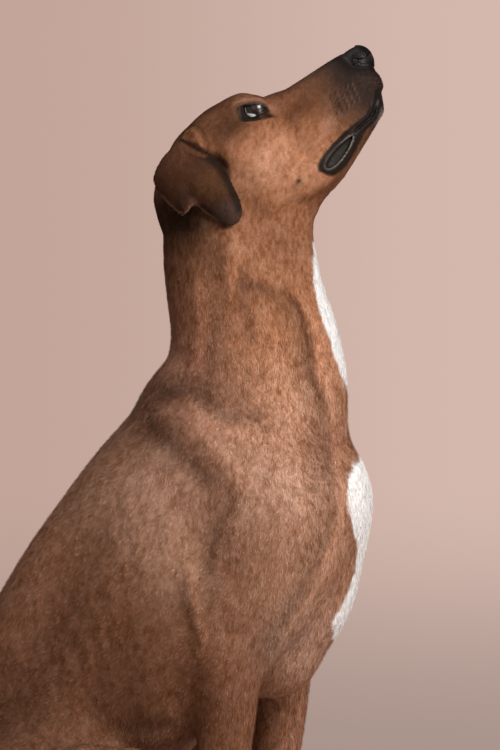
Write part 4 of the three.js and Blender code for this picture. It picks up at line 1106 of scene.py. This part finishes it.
def unrolled(p, which, middle):
    """Each point's place in its part's panel. Turns are taken about that of middle, so no face is torn."""
    uv = np.zeros((len(p), 2))
    for i, (a, b) in enumerate(LINES):
        rows = np.nonzero(which == i)[0]
        if not len(rows):
            continue
        long = np.linalg.norm(b - a)
        run = unit(b - a)
        u = unit(np.cross(run, [0, 1, 0]))
        w = np.cross(run, u)

        def turn(q):
            return np.arctan2((q - a) @ w, (q - a) @ u)
        centre = turn(middle[rows])
        angle = centre + (turn(p[rows]) - centre + math.pi) % (2 * math.pi) - math.pi
        across = 0.03 + 0.94 * (angle / (2 * math.pi) + 0.5)
        past = 0.6  # a panel holds this share of its line past each end too
        along = np.clip(((p[rows] - a) @ run / long + past) / (1 + 2 * past), 0, 1)
        corner = np.array([i % 5 * 0.2, i // 5 * 0.25]) + PANEL_GAP
        uv[rows] = corner + np.stack([across, along], 1) * PANEL
    for i, corner in enumerate(EAR_PANELS):
        rows = np.nonzero(which == EAR_PARTS + i)[0]
        uv[rows] = corner + np.stack([0.12 * p[rows, 0] / 130, 0.2 * (p[rows, 2] - 750) / 130], 1)
    return uv


# ---------------------------------------- materials
def material(name, settings=()):
    """A material with its Principled shader, whose inputs it sets."""
    made = bpy.data.materials.new(name)
    made.use_nodes = True
    shader = made.node_tree.nodes["Principled BSDF"]
    for key, value in dict(settings).items():
        shader.inputs[key].default_value = value
    return made, shader


def node(made, kind, settings=(), to=None, stops=(), **links):
    """Adds a node, sets its properties, its inputs (by name or number: a MapRange has from low 1, from high
    2, to low 3, to high 4) and its colour stops, links sockets or other nodes' first outputs into it (by
    name with _ for a space, or i and a number), and links its own first output to a socket."""
    n = made.node_tree.nodes.new("ShaderNode" + kind)
    for key, value in dict(settings).items():
        if isinstance(key, str) and hasattr(n, key):
            setattr(n, key, value)
        else:
            n.inputs[key].default_value = value
    if stops:
        elements = n.color_ramp.elements
        while len(elements) < len(stops):
            elements.new(0.5)
        for element, (share, colour) in zip(elements, stops):
            element.position = share
            element.color = (*linear(colour), 1)
    for key, source in links.items():
        numbered = key[0] == "i" and key[1:].isdigit()
        socket = n.inputs[int(key[1:]) if numbered else key.replace("_", " ")]
        made.node_tree.links.new(source.outputs[0] if hasattr(source, "outputs") else source, socket)
    if to is not None:
        made.node_tree.links.new(n.outputs[0], to)
    return n


def skin_material():
    """Short hair seen close: each hair is about 0.1 mm thick and lies flat, too fine to show, so the eye
    reads streaks about 2 mm apart in locks of about 8 mm, lighter on their crests; lips, lids and nose
    bed are bare, darker and wetter."""
    made, shader = material("short_flat_coat", {"Specular IOR Level": 0.09})
    place = node(made, "TexCoord").outputs["Object"]
    colour = node(made, "Attribute", {"attribute_name": "marking"}).outputs["Color"]
    bare = node(made, "Attribute", {"attribute_name": "bare"}).outputs["Fac"]
    streak = node(made, "TexNoise", {"Scale": 520.0, "Detail": 4.0, "Roughness": 0.65, "Distortion": 0.4},
                  Vector=place)
    lock = node(made, "TexNoise", {"Scale": 130.0, "Detail": 3.0, "Roughness": 0.6}, Vector=place)
    lock = node(made, "Math", {"operation": "MULTIPLY", 1: 0.4}, i0=lock)
    both = node(made, "Math", {"operation": "MULTIPLY_ADD", 1: 0.6}, i0=streak, i2=lock)
    value = node(made, "MapRange", {1: 0.3, 2: 0.7, 3: 0.66, 4: 1.24}, i0=both)
    node(made, "VectorMath", {"operation": "SCALE"}, shader.inputs["Base Color"], i0=colour, Scale=value)
    node(made, "MapRange", {1: 0.0, 2: 1.0, 3: 0.8, 4: 0.4}, shader.inputs["Roughness"], i0=bare)
    strength = node(made, "MapRange", {1: 0.0, 2: 1.0, 3: 0.5, 4: 0.18}, i0=bare)
    node(made, "Bump", {"Distance": 0.0007}, shader.inputs["Normal"], Height=both, Strength=strength)
    return made


def tuft_material():
    """Tips of short hair: a little glossy along their length, each one its own shade, paler at the tip."""
    made, shader = material("hair_tips", {"Roughness": 0.6, "Specular IOR Level": 0.07})
    colour = node(made, "Attribute", {"attribute_name": "marking"}).outputs["Color"]
    place = node(made, "TexCoord").outputs["Object"]
    fine = node(made, "TexNoise", {"Scale": 700.0, "Detail": 2.0}, Vector=place)
    value = node(made, "MapRange", {1: 0.3, 2: 0.7, 3: 0.86, 4: 1.12}, i0=fine)
    node(made, "VectorMath", {"operation": "SCALE"}, shader.inputs["Base Color"], i0=colour, Scale=value)
    return made


def leather_material():
    """Nose leather: near black, in rounded cells about 1.1 mm across with fine creases between, damp and
    satiny."""
    made, shader = material("nose_leather", {"Specular IOR Level": 0.12})
    place = node(made, "TexCoord").outputs["Object"]
    cells = node(made, "TexVoronoi", {"Scale": 900.0, "feature": "SMOOTH_F1", "Smoothness": 0.35},
                 Vector=place)
    wide = node(made, "TexNoise", {"Scale": 160.0, "Detail": 3.0}, Vector=place)
    node(made, "ValToRGB", {}, shader.inputs["Base Color"], [(0.35, "070505"), (0.75, "120f0e")], i0=wide)
    node(made, "Bump", {"Distance": 0.0006, "Strength": 0.55, "invert": True}, shader.inputs["Normal"],
         Height=cells.outputs["Distance"])
    node(made, "MapRange", {1: 0.3, 2: 0.7, 3: 0.3, 4: 0.42}, shader.inputs["Roughness"], i0=wide)
    return made


def eye_material():
    """A dog's eye: black pupil, dark amber-brown iris with fine spokes, a darker ring, then the white, all
    under one clear wet surface."""
    made, shader = material("wet_eye", {"Roughness": 0.3, "Coat Weight": 0.6, "Coat Roughness": 0.06,
                                        "Coat IOR": 1.38})
    turn = node(made, "Attribute", {"attribute_name": "from_axis"}).outputs["Fac"]
    place = node(made, "TexCoord").outputs["Object"]
    spokes = node(made, "TexNoise", {"Scale": 900.0, "Detail": 3.0}, Vector=place)
    frayed = node(made, "Math", {"operation": "MULTIPLY_ADD", 1: 0.05}, i0=spokes, i2=turn)
    rings = [(0.0, "060505"), (0.27, "080605"), (0.31, "22140c"), (0.5, "2a190f"), (0.6, "150d09"),
             (0.68, "0d0908"), (0.74, "b0acaa"), (0.8, "fcfbfb"), (1.0, "fcfbfb")]
    node(made, "ValToRGB", {}, shader.inputs["Base Color"], rings, i0=frayed)
    return made


def horn_material():
    """Claw horn: dark brown, streaked along its length, worn paler and duller at the tip."""
    made, shader = material("claw_horn", {"Roughness": 0.38})
    along = node(made, "Attribute", {"attribute_name": "along"}).outputs["Fac"]
    place = node(made, "TexCoord").outputs["Object"]
    streak = node(made, "TexNoise", {"Scale": 420.0, "Detail": 3.0}, Vector=place)
    mixed = node(made, "Math", {"operation": "MULTIPLY_ADD", 1: 0.45}, i0=streak, i2=along)
    shades = [(0.25, "241b16"), (1.25 / 1.3, "6f5b4c")]
    node(made, "ValToRGB", {}, shader.inputs["Base Color"], shades, i0=mixed)
    node(made, "Bump", {"Distance": 0.0003, "Strength": 0.4}, shader.inputs["Normal"], Height=streak)
    return made


def rim_material():
    """The lids' bare edges: black, moist skin with fine wrinkles about 1 mm apart."""
    made, shader = material("moist_lid_edge", {"Roughness": 0.3})
    place = node(made, "TexCoord").outputs["Object"]
    fine = node(made, "TexNoise", {"Scale": 900.0, "Detail": 3.0}, Vector=place)
    node(made, "ValToRGB", {}, shader.inputs["Base Color"], [(0.0, "0f0c0b"), (1.0, "2b2421")], i0=fine)
    node(made, "Bump", {"Distance": 0.0003, "Strength": 0.4}, shader.inputs["Normal"], Height=fine)
    return made


def whisker_material():
    """Whiskers: stiff dark hairs, smoother and glossier than the coat, paler towards the tip."""
    made, shader = material("whisker", {"Roughness": 0.35})
    along = node(made, "Attribute", {"attribute_name": "along"}).outputs["Fac"]
    node(made, "ValToRGB", {}, shader.inputs["Base Color"], [(0.0, "17110e"), (1.0, "5a4a40")], i0=along)
    return made


def set_values(made, name, values, kind="FLOAT"):
    """Puts a number or a colour on each point of a piece."""
    layer = made.data.attributes.new(name, kind, "POINT")
    if kind == "FLOAT_COLOR":
        values = np.concatenate([values, np.ones((len(values), 1))], 1)
        layer.data.foreach_set("color", values.astype(np.float32).ravel())
    else:
        layer.data.foreach_set("value", values.astype(np.float32))


def set_uv(made, uv):
    """Gives a piece its unwrap, one place for each corner of its faces."""
    layer = made.data.uv_layers.new(name="OFBake")
    layer.data.foreach_set("uv", uv.astype(np.float32).ravel())


def finish_piece(made, surface, slot, *nodes):
    """Gives a piece its material and body, and hides the solids that it stands for. Its slot is not used."""
    made.data.materials.append(surface)
    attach(made, "root")
    if nodes:
        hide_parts(*nodes)


# ---------------------------------------- the skin as one piece
SKIN_FACES = 188000
FLESH_NODES = sorted(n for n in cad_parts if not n.startswith(("claw_", "eye_", "nose")))
points, tris = surface_net(skin_field, lattice_place, (*LATTICE, len(LEVELS)), lambda p: cell_size(p[:, 2]))
points, tris = adaptive(make_mesh("draft", points, tris), SKIN_FACES)
normals = unit(settle(skin_field, points, 0.0)[1])
colours, bareness = markings(points)
skin = make_mesh("skin", points, tris)
set_values(skin, "marking", colours, "FLOAT_COLOR")
set_values(skin, "bare", bareness)
corners = points[tris]
centres = corners.mean(1)
which_part = part_of(centres)
uv = np.stack([unrolled(corners[:, k], which_part, centres) for k in range(3)], 1)
set_uv(skin, uv.reshape(-1, 2))
finish_piece(skin, skin_material(), "coat", *FLESH_NODES)

# ---------------------------------------- the coat: flat tapered blades that lie along the body
rng = np.random.default_rng(SEED)


def on_ears(p):
    """1 on the hanging ears, 0 elsewhere."""
    on = np.zeros(len(p))
    near = by_ears(p)
    if len(near):
        on[near] = step_up(3.0, 1.0, ear_leaf(p[near])[0])
    return on


def roots(count):
    """Points strewn over the skin's triangles, thicker where hair is short, and how the skin faces there."""
    a, b, c = (points[tris[:, k]] for k in range(3))
    area = size_of(np.cross(b - a, c - a)) / 2
    x, _, z = centres.T
    wanted = 1 + 2.2 * step_up(260, 110, size_of(centres - HEAD_MIDDLE)) + 0.6 * step_up(60, 30, z)
    wanted += 0.9 * step_up(560, 640, z) * step_up(-60, 0, x)
    weight = area * wanted * step_up(4.0, 7.0, z) * step_up(0.5, 0.2, bareness[tris].mean(1))
    pick = np.searchsorted(np.cumsum(weight) / weight.sum(), rng.random(count)).clip(0, len(tris) - 1)
    s, t = rng.random((2, count))
    flip = s + t > 1
    s, t = np.where(flip, 1 - s, s), np.where(flip, 1 - t, t)
    w = np.stack([1 - s - t, s, t], 1)[:, :, None]
    return (points[tris[pick]] * w).sum(1), unit((normals[tris[pick]] * w).sum(1))


def hair_length(root, away, ears):
    """Shorter on the muzzle, ears and feet, and longer where the coat's halves meet on the breast."""
    x, y, z = root.T
    on_muzzle = step_up(90, 190, to_head(root)[:, 0]) * step_up(230, 150, away)
    breast = bell(y, 16) * step_up(150, 200, x) * step_up(300, 380, z) * step_up(560, 500, z)
    length = (2.8 + 2.2 * step_up(95, 260, away)) * (1 - 0.4 * on_muzzle) * (1 - 0.1 * ears)
    return length * (0.5 + 0.5 * step_up(10, 90, z)) * (1 + 0.5 * breast)


def coat(count):
    """Each tuft is three triangles that taper to a point, start in the skin and bend along it at the coat's
    height. Gives the tufts' points, their colours and their places in the unwrap."""
    root, n = roots(count)
    ears = on_ears(root)
    way = lie_of_coat(root, n, ears)
    away = size_of(root - HEAD_MIDDLE)
    length = hair_length(root, away, ears) * rng.uniform(0.7, 1.3, count)
    width = (0.34 + 0.16 * step_up(100, 250, away)) * rng.uniform(0.7, 1.3, count)
    depth = (coat_depth(root) * 0.8 - 0.12) * rng.uniform(0.45, 1.1, count)
    way = swung(way, n, rng.normal(0, 0.16, count))
    lean = rng.normal(0, 0.16, count)[:, None]
    across = np.cross(n, way) * np.cos(lean) + n * np.sin(lean)
    line = []
    for share, height in ((0.0, -0.3), (0.52, 0.8), (1.0, 1.0)):
        q = root + way * (length * share)[:, None]
        if share > 0:  # the far half follows the skin's own curve
            q = q - n * np.clip(skin_field(q), -4, 4)[:, None]
        line.append(q + n * (depth * height)[:, None])
    rows = []
    for q, share in zip(line[:2], (1.0, 0.85)):
        half = across * (width * share / 2)[:, None]
        rows += [q - half, q + half]
    shape = np.stack([*rows, line[2]], 1)
    shape[:, :, 2] = np.maximum(shape[:, :, 2], 0.4)
    shade = np.exp(rng.normal(-0.02, 0.18, count))[:, None]
    warm = rng.normal(0, 0.05, count)[:, None] * np.array([1, 0.2, -0.6])
    base = np.clip(markings(root)[0] * shade * (1 + warm), 0, 1)
    tone = np.stack([base * k for k in (0.86, 0.86, 1.0, 1.0, 1.06)], 1)
    return shape, np.clip(tone, 0, 1), unrolled(root, part_of(root), root)


BLADE = np.array([[0, 1, 3], [0, 3, 2], [2, 3, 4]])
BLADE_UV = np.array([[-1, -1], [1, -1], [-0.9, 0.1], [0.9, 0.1], [0, 1]]) * 0.0015
TUFTS = 470000
TUFTS_A_PIECE = 65000
tuft_surface = tuft_material()
shape, tone, at = coat(TUFTS)
order = np.argsort(shape[:, 0, 2], kind="stable")
for part, rows in enumerate(np.array_split(order, math.ceil(TUFTS / TUFTS_A_PIECE))):
    blades = (np.arange(len(rows))[:, None, None] * 5 + BLADE).reshape(-1, 3)
    made = make_mesh(f"coat_{part + 1}", shape[rows].reshape(-1, 3), blades)
    set_values(made, "marking", tone[rows].reshape(-1, 3), "FLOAT_COLOR")
    set_uv(made, (at[rows][:, None, None, :] + BLADE_UV[BLADE][None]).reshape(-1, 2))
    finish_piece(made, tuft_surface, "coat")


# ---------------------------------------- small pieces
def ring_faces(count, around, closed=False):
    """Triangles between rings of points, one ring after another, that face out where the rings turn as
    carried's."""
    i, j = np.meshgrid(np.arange(count if closed else count - 1), np.arange(around), indexing="ij")
    a, b = i * around + j, i * around + (j + 1) % around
    c, d = (i + 1) % count * around + (j + 1) % around, (i + 1) % count * around + j
    return np.concatenate([np.stack([a, b, c], -1).reshape(-1, 3), np.stack([a, c, d], -1).reshape(-1, 3)])


def fan(pole, start, around):
    """Triangles from a pole to the ring whose first point is start."""
    j = np.arange(around)
    return np.stack([np.full(around, pole), start + j, start + (j + 1) % around], 1)


def closed_faces(count, around):
    """Rings whose ends are closed by two poles, which come after them."""
    last = count * around
    return np.concatenate([ring_faces(count, around), fan(last, 0, around)[:, ::-1],
                           fan(last + 1, last - around, around)])


def carried(path, radius, sides=8, flat=1.0, closed=False, up=(0, 1, 0)):
    """A round profile carried along a path, its radius given at each point; ends are closed with a point."""
    path, radius = np.asarray(path, float), np.asarray(radius, float)
    ahead = unit(np.roll(path, -1, 0) - np.roll(path, 1, 0) if closed else np.gradient(path, axis=0))
    one = unit(np.cross(ahead, np.asarray(up, float)))
    two = np.cross(ahead, one)
    turn = (np.arange(sides) * 2 * math.pi / sides)[:, None]
    ring = (one[:, None] * np.cos(turn) * flat + two[:, None] * np.sin(turn)) * radius[:, None, None]
    grid = (path[:, None] + ring).reshape(-1, 3)
    if closed:
        return grid, ring_faces(len(path), sides, True)
    return np.concatenate([grid, path[:1], path[-1:]]), closed_faces(len(path), sides)


def joined(parts):
    """Several shapes as one, each with its values."""
    grids, faces, values = zip(*parts)
    starts = np.cumsum([0] + [len(grid) for grid in grids[:-1]])
    faces = [f + start for f, start in zip(faces, starts)]
    return np.concatenate(grids), np.concatenate(faces), np.concatenate(values)


def set_along(name, parts, surface, slot, *nodes):
    """Makes one piece of several shapes, whose values say how far along each its points lie."""
    grid, faces, share = joined(parts)
    made = make_mesh(name, grid, faces)
    set_values(made, "along", share)
    finish_piece(made, surface, slot, *nodes)


def eyeball(side):
    """A ball with the cornea's bulge: R + 0.6 exp(-(turn/0.6)^4) from the axis in which it looks. The number
    on it is the turn from that axis, held below the white's but for the part that the lower lid's outer
    half bares."""
    rings, around = 90, 128
    turn = np.linspace(0, math.pi, rings + 1)
    radius = (EYE_RADIUS + 0.6 * np.exp(-(turn / 0.6) ** 4))[:, None, None]
    t, f = np.meshgrid(turn[1:-1], np.arange(around) * 2 * math.pi / around, indexing="ij")
    one = unit(np.cross(GAZE, [0, 0, 1]))
    two = np.cross(GAZE, one)
    way = np.cos(f)[..., None] * one + np.sin(f)[..., None] * two
    local = (np.cos(t)[..., None] * GAZE + np.sin(t)[..., None] * way) * radius[1:-1]
    grid = EYE_AT + np.concatenate([local.reshape(-1, 3), GAZE * radius[0], -GAZE * radius[-1]])
    u, w, _ = eye_map(grid)
    bared = step_up(-0.4, -2.2, u) * step_up(-9.2, -10.4, w + 0.1 * (u + 6)) * step_up(-13.5, -12, u)
    value = np.minimum(np.append(t / 1.25, [0, 1]), 0.66 + 0.34 * bared)
    faces = closed_faces(rings - 1, around)
    name = "left" if side > 0 else "right"
    made = make_mesh(f"eyeball_{name}", from_head(flipped(grid, side)), faces[:, ::-1] if side > 0 else faces)
    set_values(made, "from_axis", np.clip(value, 0, 1))
    return made


eye_surface, rim_surface = eye_material(), rim_material()
for side, name in ((1, "left"), (-1, "right")):
    finish_piece(eyeball(side), eye_surface, "eye", f"eye_{name}")
    # the lids' edge: the opening's outline laid on a ball just over the eyeball
    edge = from_head(flipped(on_eye(*LIDS.T, EYE_RADIUS + 0.95), side))
    grid, faces = carried(edge, np.full(len(edge), 0.75), closed=True, up=head_dir((1, 0, 0)))
    finish_piece(make_mesh(f"lid_edge_{name}", grid, faces), rim_surface, "nose_leather")


NOSTRIL = muscle([[231, 5.6, -54.5, 2.2], [227.5, 7.4, -57.5, 3.2], [222.5, 12, -57.6, 2.6],
                  [218.4, 15.5, -54.3, 1.6], [215.7, 17.6, -50.7, 1.1], [213.8, 18.8, -48.5, 0.6]], cut=4)[0]


def nose_field(p):
    """The nose: the muzzle's end a little proud of the skin, cut back at the leather's edge, with comma
    nostrils flared at their wings, and the groove down its middle."""
    h = mirrored(to_head(p))
    x, y, z = h.T
    d = base_field(p) + 0.5 - 0.5 * bell(size_of(h - np.array([219, 15, -43])), 7)
    d = smooth_max(d, -into_leather(h), 1.0)
    d = smooth_max(d, -NOSTRIL(h), 1.8)
    groove = np.hypot(y, np.minimum(0, x - 222) * 0.5)
    d = d + 1.7 * bell(groove, 1.5) * step_up(-47, -54, z) * step_up(214, 222, x + 0.3 * (z + 60))
    return smooth_max(d, 199.0 - x, 1.0)


NOSE_STEP = 0.62
NOSE_LATTICE = (112, 84, 112)
NOSE_LOW = from_head((196, 0, -84)) - np.array([8.0, 25.0, 0.0])


def nose_place(n):
    """Where the nose's lattice numbers lie."""
    return NOSE_LOW + n * NOSE_STEP


nose_points, nose_tris = surface_net(nose_field, nose_place, NOSE_LATTICE,
                                     lambda p: np.full(len(p), NOSE_STEP))
nose_points, _ = settle(nose_field, nose_points, 0.3)
finish_piece(make_mesh("nose_tip", nose_points, nose_tris), leather_material(), "nose_leather", "nose")

CLAW_SIDES = 10
claws = []
for paw in PAWS:
    for y, x in zip(TOES, TOE_REACH):
        x = x + 15
        stations = [(x, y * 1.04, 14, 3.4), (x + 6, y * 1.05, 15, 3.4), (x + 11, y * 1.06, 13.5, 3.1),
                    (x + 15.5, y * 1.08, 9.8, 2.4), (x + 18.5, y * 1.1, 4.6, 1.4),
                    (x + 19.2, y * 1.1, 2.8, 0.7)]
        line = smooth_line([paw_point(paw, *station) for station in stations])
        grid, faces = carried(line[:, :3], line[:, 3], CLAW_SIDES, 0.78)
        grid[:, 2] = np.maximum(grid[:, 2], 0.15)
        share = np.repeat(np.linspace(0, 0.8, len(line)), CLAW_SIDES)
        claws.append((grid, faces, np.append(share, [0, 0.8])))
claw_nodes = sorted(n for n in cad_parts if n.startswith("claw_"))
set_along("claws", claws, horn_material(), "claw", *claw_nodes)


def hairs():
    """Whiskers in rows on the pads, and a few by the brow, cheek and chin: three-sided tapered curves that
    droop."""
    parts = []
    # each bed has its place, direction, length, number of hairs and spread
    beds = [((x, 0, z), (-0.55 + 0.12 * k, 0.8, -0.1 - 0.16 * row), 9 + 4.5 * k, 1, 0.5)
            for row, k, x, z in WHISKER_BEDS]
    beds += [((90, 0, -3), (0.3, 0.5, 1.0), 15, 3, 2.4),
             ((MOLE[0], 0, MOLE[1]), (-0.4, 0.9, -0.2), 11, 3, 0.8),
             ((196, 0, -118), (0.4, 0.4, -0.9), 7, 6, 3.5)]
    for at, way, length, number, spread in beds:
        for side in np.repeat((1, -1), number):
            x, _, z = np.array(at) + rng.normal(0, spread, 3)
            depth = np.arange(0, 75, 0.7)
            probe = from_head(np.stack([np.full(len(depth), x), depth * side, np.full(len(depth), z)], 1))
            out = np.nonzero(skin_field(probe) > -0.3)[0]
            if not len(out) or out[0] < 4:  # no skin there, or too near the middle
                continue
            d = unit(head_dir(flipped(way, side) + rng.normal(0, 0.12, 3)))
            t = np.linspace(0, 1, 7)
            reach = length * rng.uniform(0.75, 1.2)
            path = probe[out[0]] + reach * (d * t[:, None] + np.array([-0.1, 0, -0.28]) * t[:, None] ** 2)
            parts.append((*carried(path, 0.24 * (1 - 0.8 * t), 3), np.append(np.repeat(t, 3), [0, 1])))
    return parts


set_along("whiskers", hairs(), whisker_material(), "nose_leather")

# ---------------------------------------- floor, light and camera
AZIMUTH = math.radians(12)  # how far to the dog's front the camera stands
CAMERA_REACH = 8.0
IN_VIEW = 0.825  # metres across the picture at the dog
FLOOR_RADIUS = 1500


def floor():
    """A pale round floor that fades out at its edge."""
    rings, around = 24, 96
    r = np.arange(1, rings + 1) / rings * FLOOR_RADIUS
    a = np.arange(around) * 2 * math.pi / around
    flat = np.zeros((rings, around))
    grid = np.stack([np.outer(r, np.cos(a)), np.outer(r, np.sin(a)), flat], -1).reshape(-1, 3)
    faces = np.concatenate([ring_faces(rings, around)[:, ::-1], fan(len(grid), 0, around)])
    made = make_mesh("floor", np.concatenate([grid, [[0, 0, 0]]]) - SHIFT * [1, 1, 0], faces)
    surface, shader = material("pale_floor", {"Roughness": 0.85})
    place = node(surface, "TexCoord").outputs["Object"]
    speck = node(surface, "TexNoise", {"Scale": 9.0, "Detail": 4.0}, Vector=place)
    node(surface, "ValToRGB", {}, shader.inputs["Base Color"], [(0.0, "cdbab0"), (1.0, "dac8be")], i0=speck)
    away = node(surface, "VectorMath", {"operation": "LENGTH"}, i0=place).outputs["Value"]
    fade = node(surface, "MapRange", {1: 0.45, 2: 1.4, 3: 0.0, 4: 1.0, "interpolation_type": "SMOOTHSTEP"},
                i0=away)
    clear = node(surface, "BsdfTransparent")
    shown = surface.node_tree.nodes["Material Output"].inputs["Surface"]
    node(surface, "MixShader", {}, shown, Fac=fade, i1=shader, i2=clear)
    made.data.materials.append(surface)


def room():
    """A plain plaster wall for the camera, with painted shade a little darker on its left and in a band over
    the floor's edge, and an even pale light for all else."""
    world = bpy.data.worlds.new("room")
    bpy.context.scene.world = world
    world.use_nodes = True
    wall = world.node_tree.nodes["Background"]
    eased = {"interpolation_type": "SMOOTHSTEP"}
    way = node(world, "TexCoord").outputs["Generated"]
    right = (math.cos(AZIMUTH), math.sin(AZIMUTH), 0)
    across = node(world, "VectorMath", {"operation": "DOT_PRODUCT", 1: right}, i0=way).outputs["Value"]
    across = node(world, "MapRange", {1: -0.034, 2: 0.034, 3: 0.0, 4: 1.0, **eased}, i0=across)
    height = node(world, "SeparateXYZ", i0=way).outputs["Z"]
    # painted shade on the wall in a band over the floor's edge
    low_band = node(world, "MapRange", {1: -0.014, 2: -0.052, 3: 0.0, 4: 1.0, **eased}, i0=height)
    past_band = node(world, "MapRange", {1: -0.25, 2: -0.07, 3: 0.0, 4: 1.0}, i0=height)
    shade = node(world, "Math", {"operation": "MULTIPLY"}, i0=low_band, i1=past_band)
    shade = node(world, "Math", {"operation": "MULTIPLY", 1: 0.85}, i0=shade)
    # painted shade: the wall is a little darker on its left
    sides = {"Color1": (*linear("c3a599"), 1), "Color2": (*linear("d4b8ad"), 1)}
    plaster = node(world, "MixRGB", sides, Fac=across)
    node(world, "MixRGB", {"Color2": (*linear("a18d85"), 1)}, wall.inputs["Color"], Fac=shade, Color1=plaster)
    glow = node(world, "Background", {"Color": (*linear("cdbfb8"), 1), "Strength": 0.24})
    seen = node(world, "LightPath").outputs["Is Camera Ray"]
    node(world, "MixShader", {}, world.node_tree.nodes["World Output"].inputs[0], i0=seen, i1=glow, i2=wall)


def put(name, data, place, target):
    """Adds a light or camera that looks at a target."""
    made = bpy.data.objects.new(name, data)
    made.location = place
    made.rotation_euler = (Vector(target) - Vector(place)).to_track_quat("-Z", "Y").to_euler()
    bpy.context.scene.collection.objects.link(made)
    return made


def soft_light(name, place, target, size, power, colour):
    """A light from a flat rectangle, as of a window or a softbox."""
    light = bpy.data.lights.new(name, "AREA")
    light.shape = "RECTANGLE"
    light.size, light.size_y = size
    light.energy = power
    light.color = linear(colour)
    put(name, light, place, target)


floor()
room()
soft_light("key_window", (1.75, -1.25, 1.85), (0.1, 0, 0.7), (1.0, 1.0), 62, "fffaf6")
soft_light("fill_room", (-0.4, -3.0, 1.6), (0.0, 0, 0.7), (2.4, 2.0), 9, "f6f0ee")
soft_light("front_low", (1.7, -0.8, 0.45), (0.15, 0, 0.5), (0.8, 0.8), 8, "fffaf6")
soft_light("top_room", (-0.2, -0.5, 2.6), (0.0, 0, 0.7), (1.4, 1.4), 24, "fffaf8")

lens = bpy.data.cameras.new("camera")
lens.sensor_width = 36
lens.lens = lens.sensor_width * CAMERA_REACH / IN_VIEW
target = Vector(((112.5 + SHIFT[0]) / 1000, SHIFT[1] / 1000, 0.605))  # between shoulder and head
stand = target + CAMERA_REACH * Vector((math.sin(AZIMUTH), -math.cos(AZIMUTH), 0))
bpy.context.scene.camera = put("camera", lens, stand, target)
bpy.context.scene.view_settings.view_transform = "Standard"
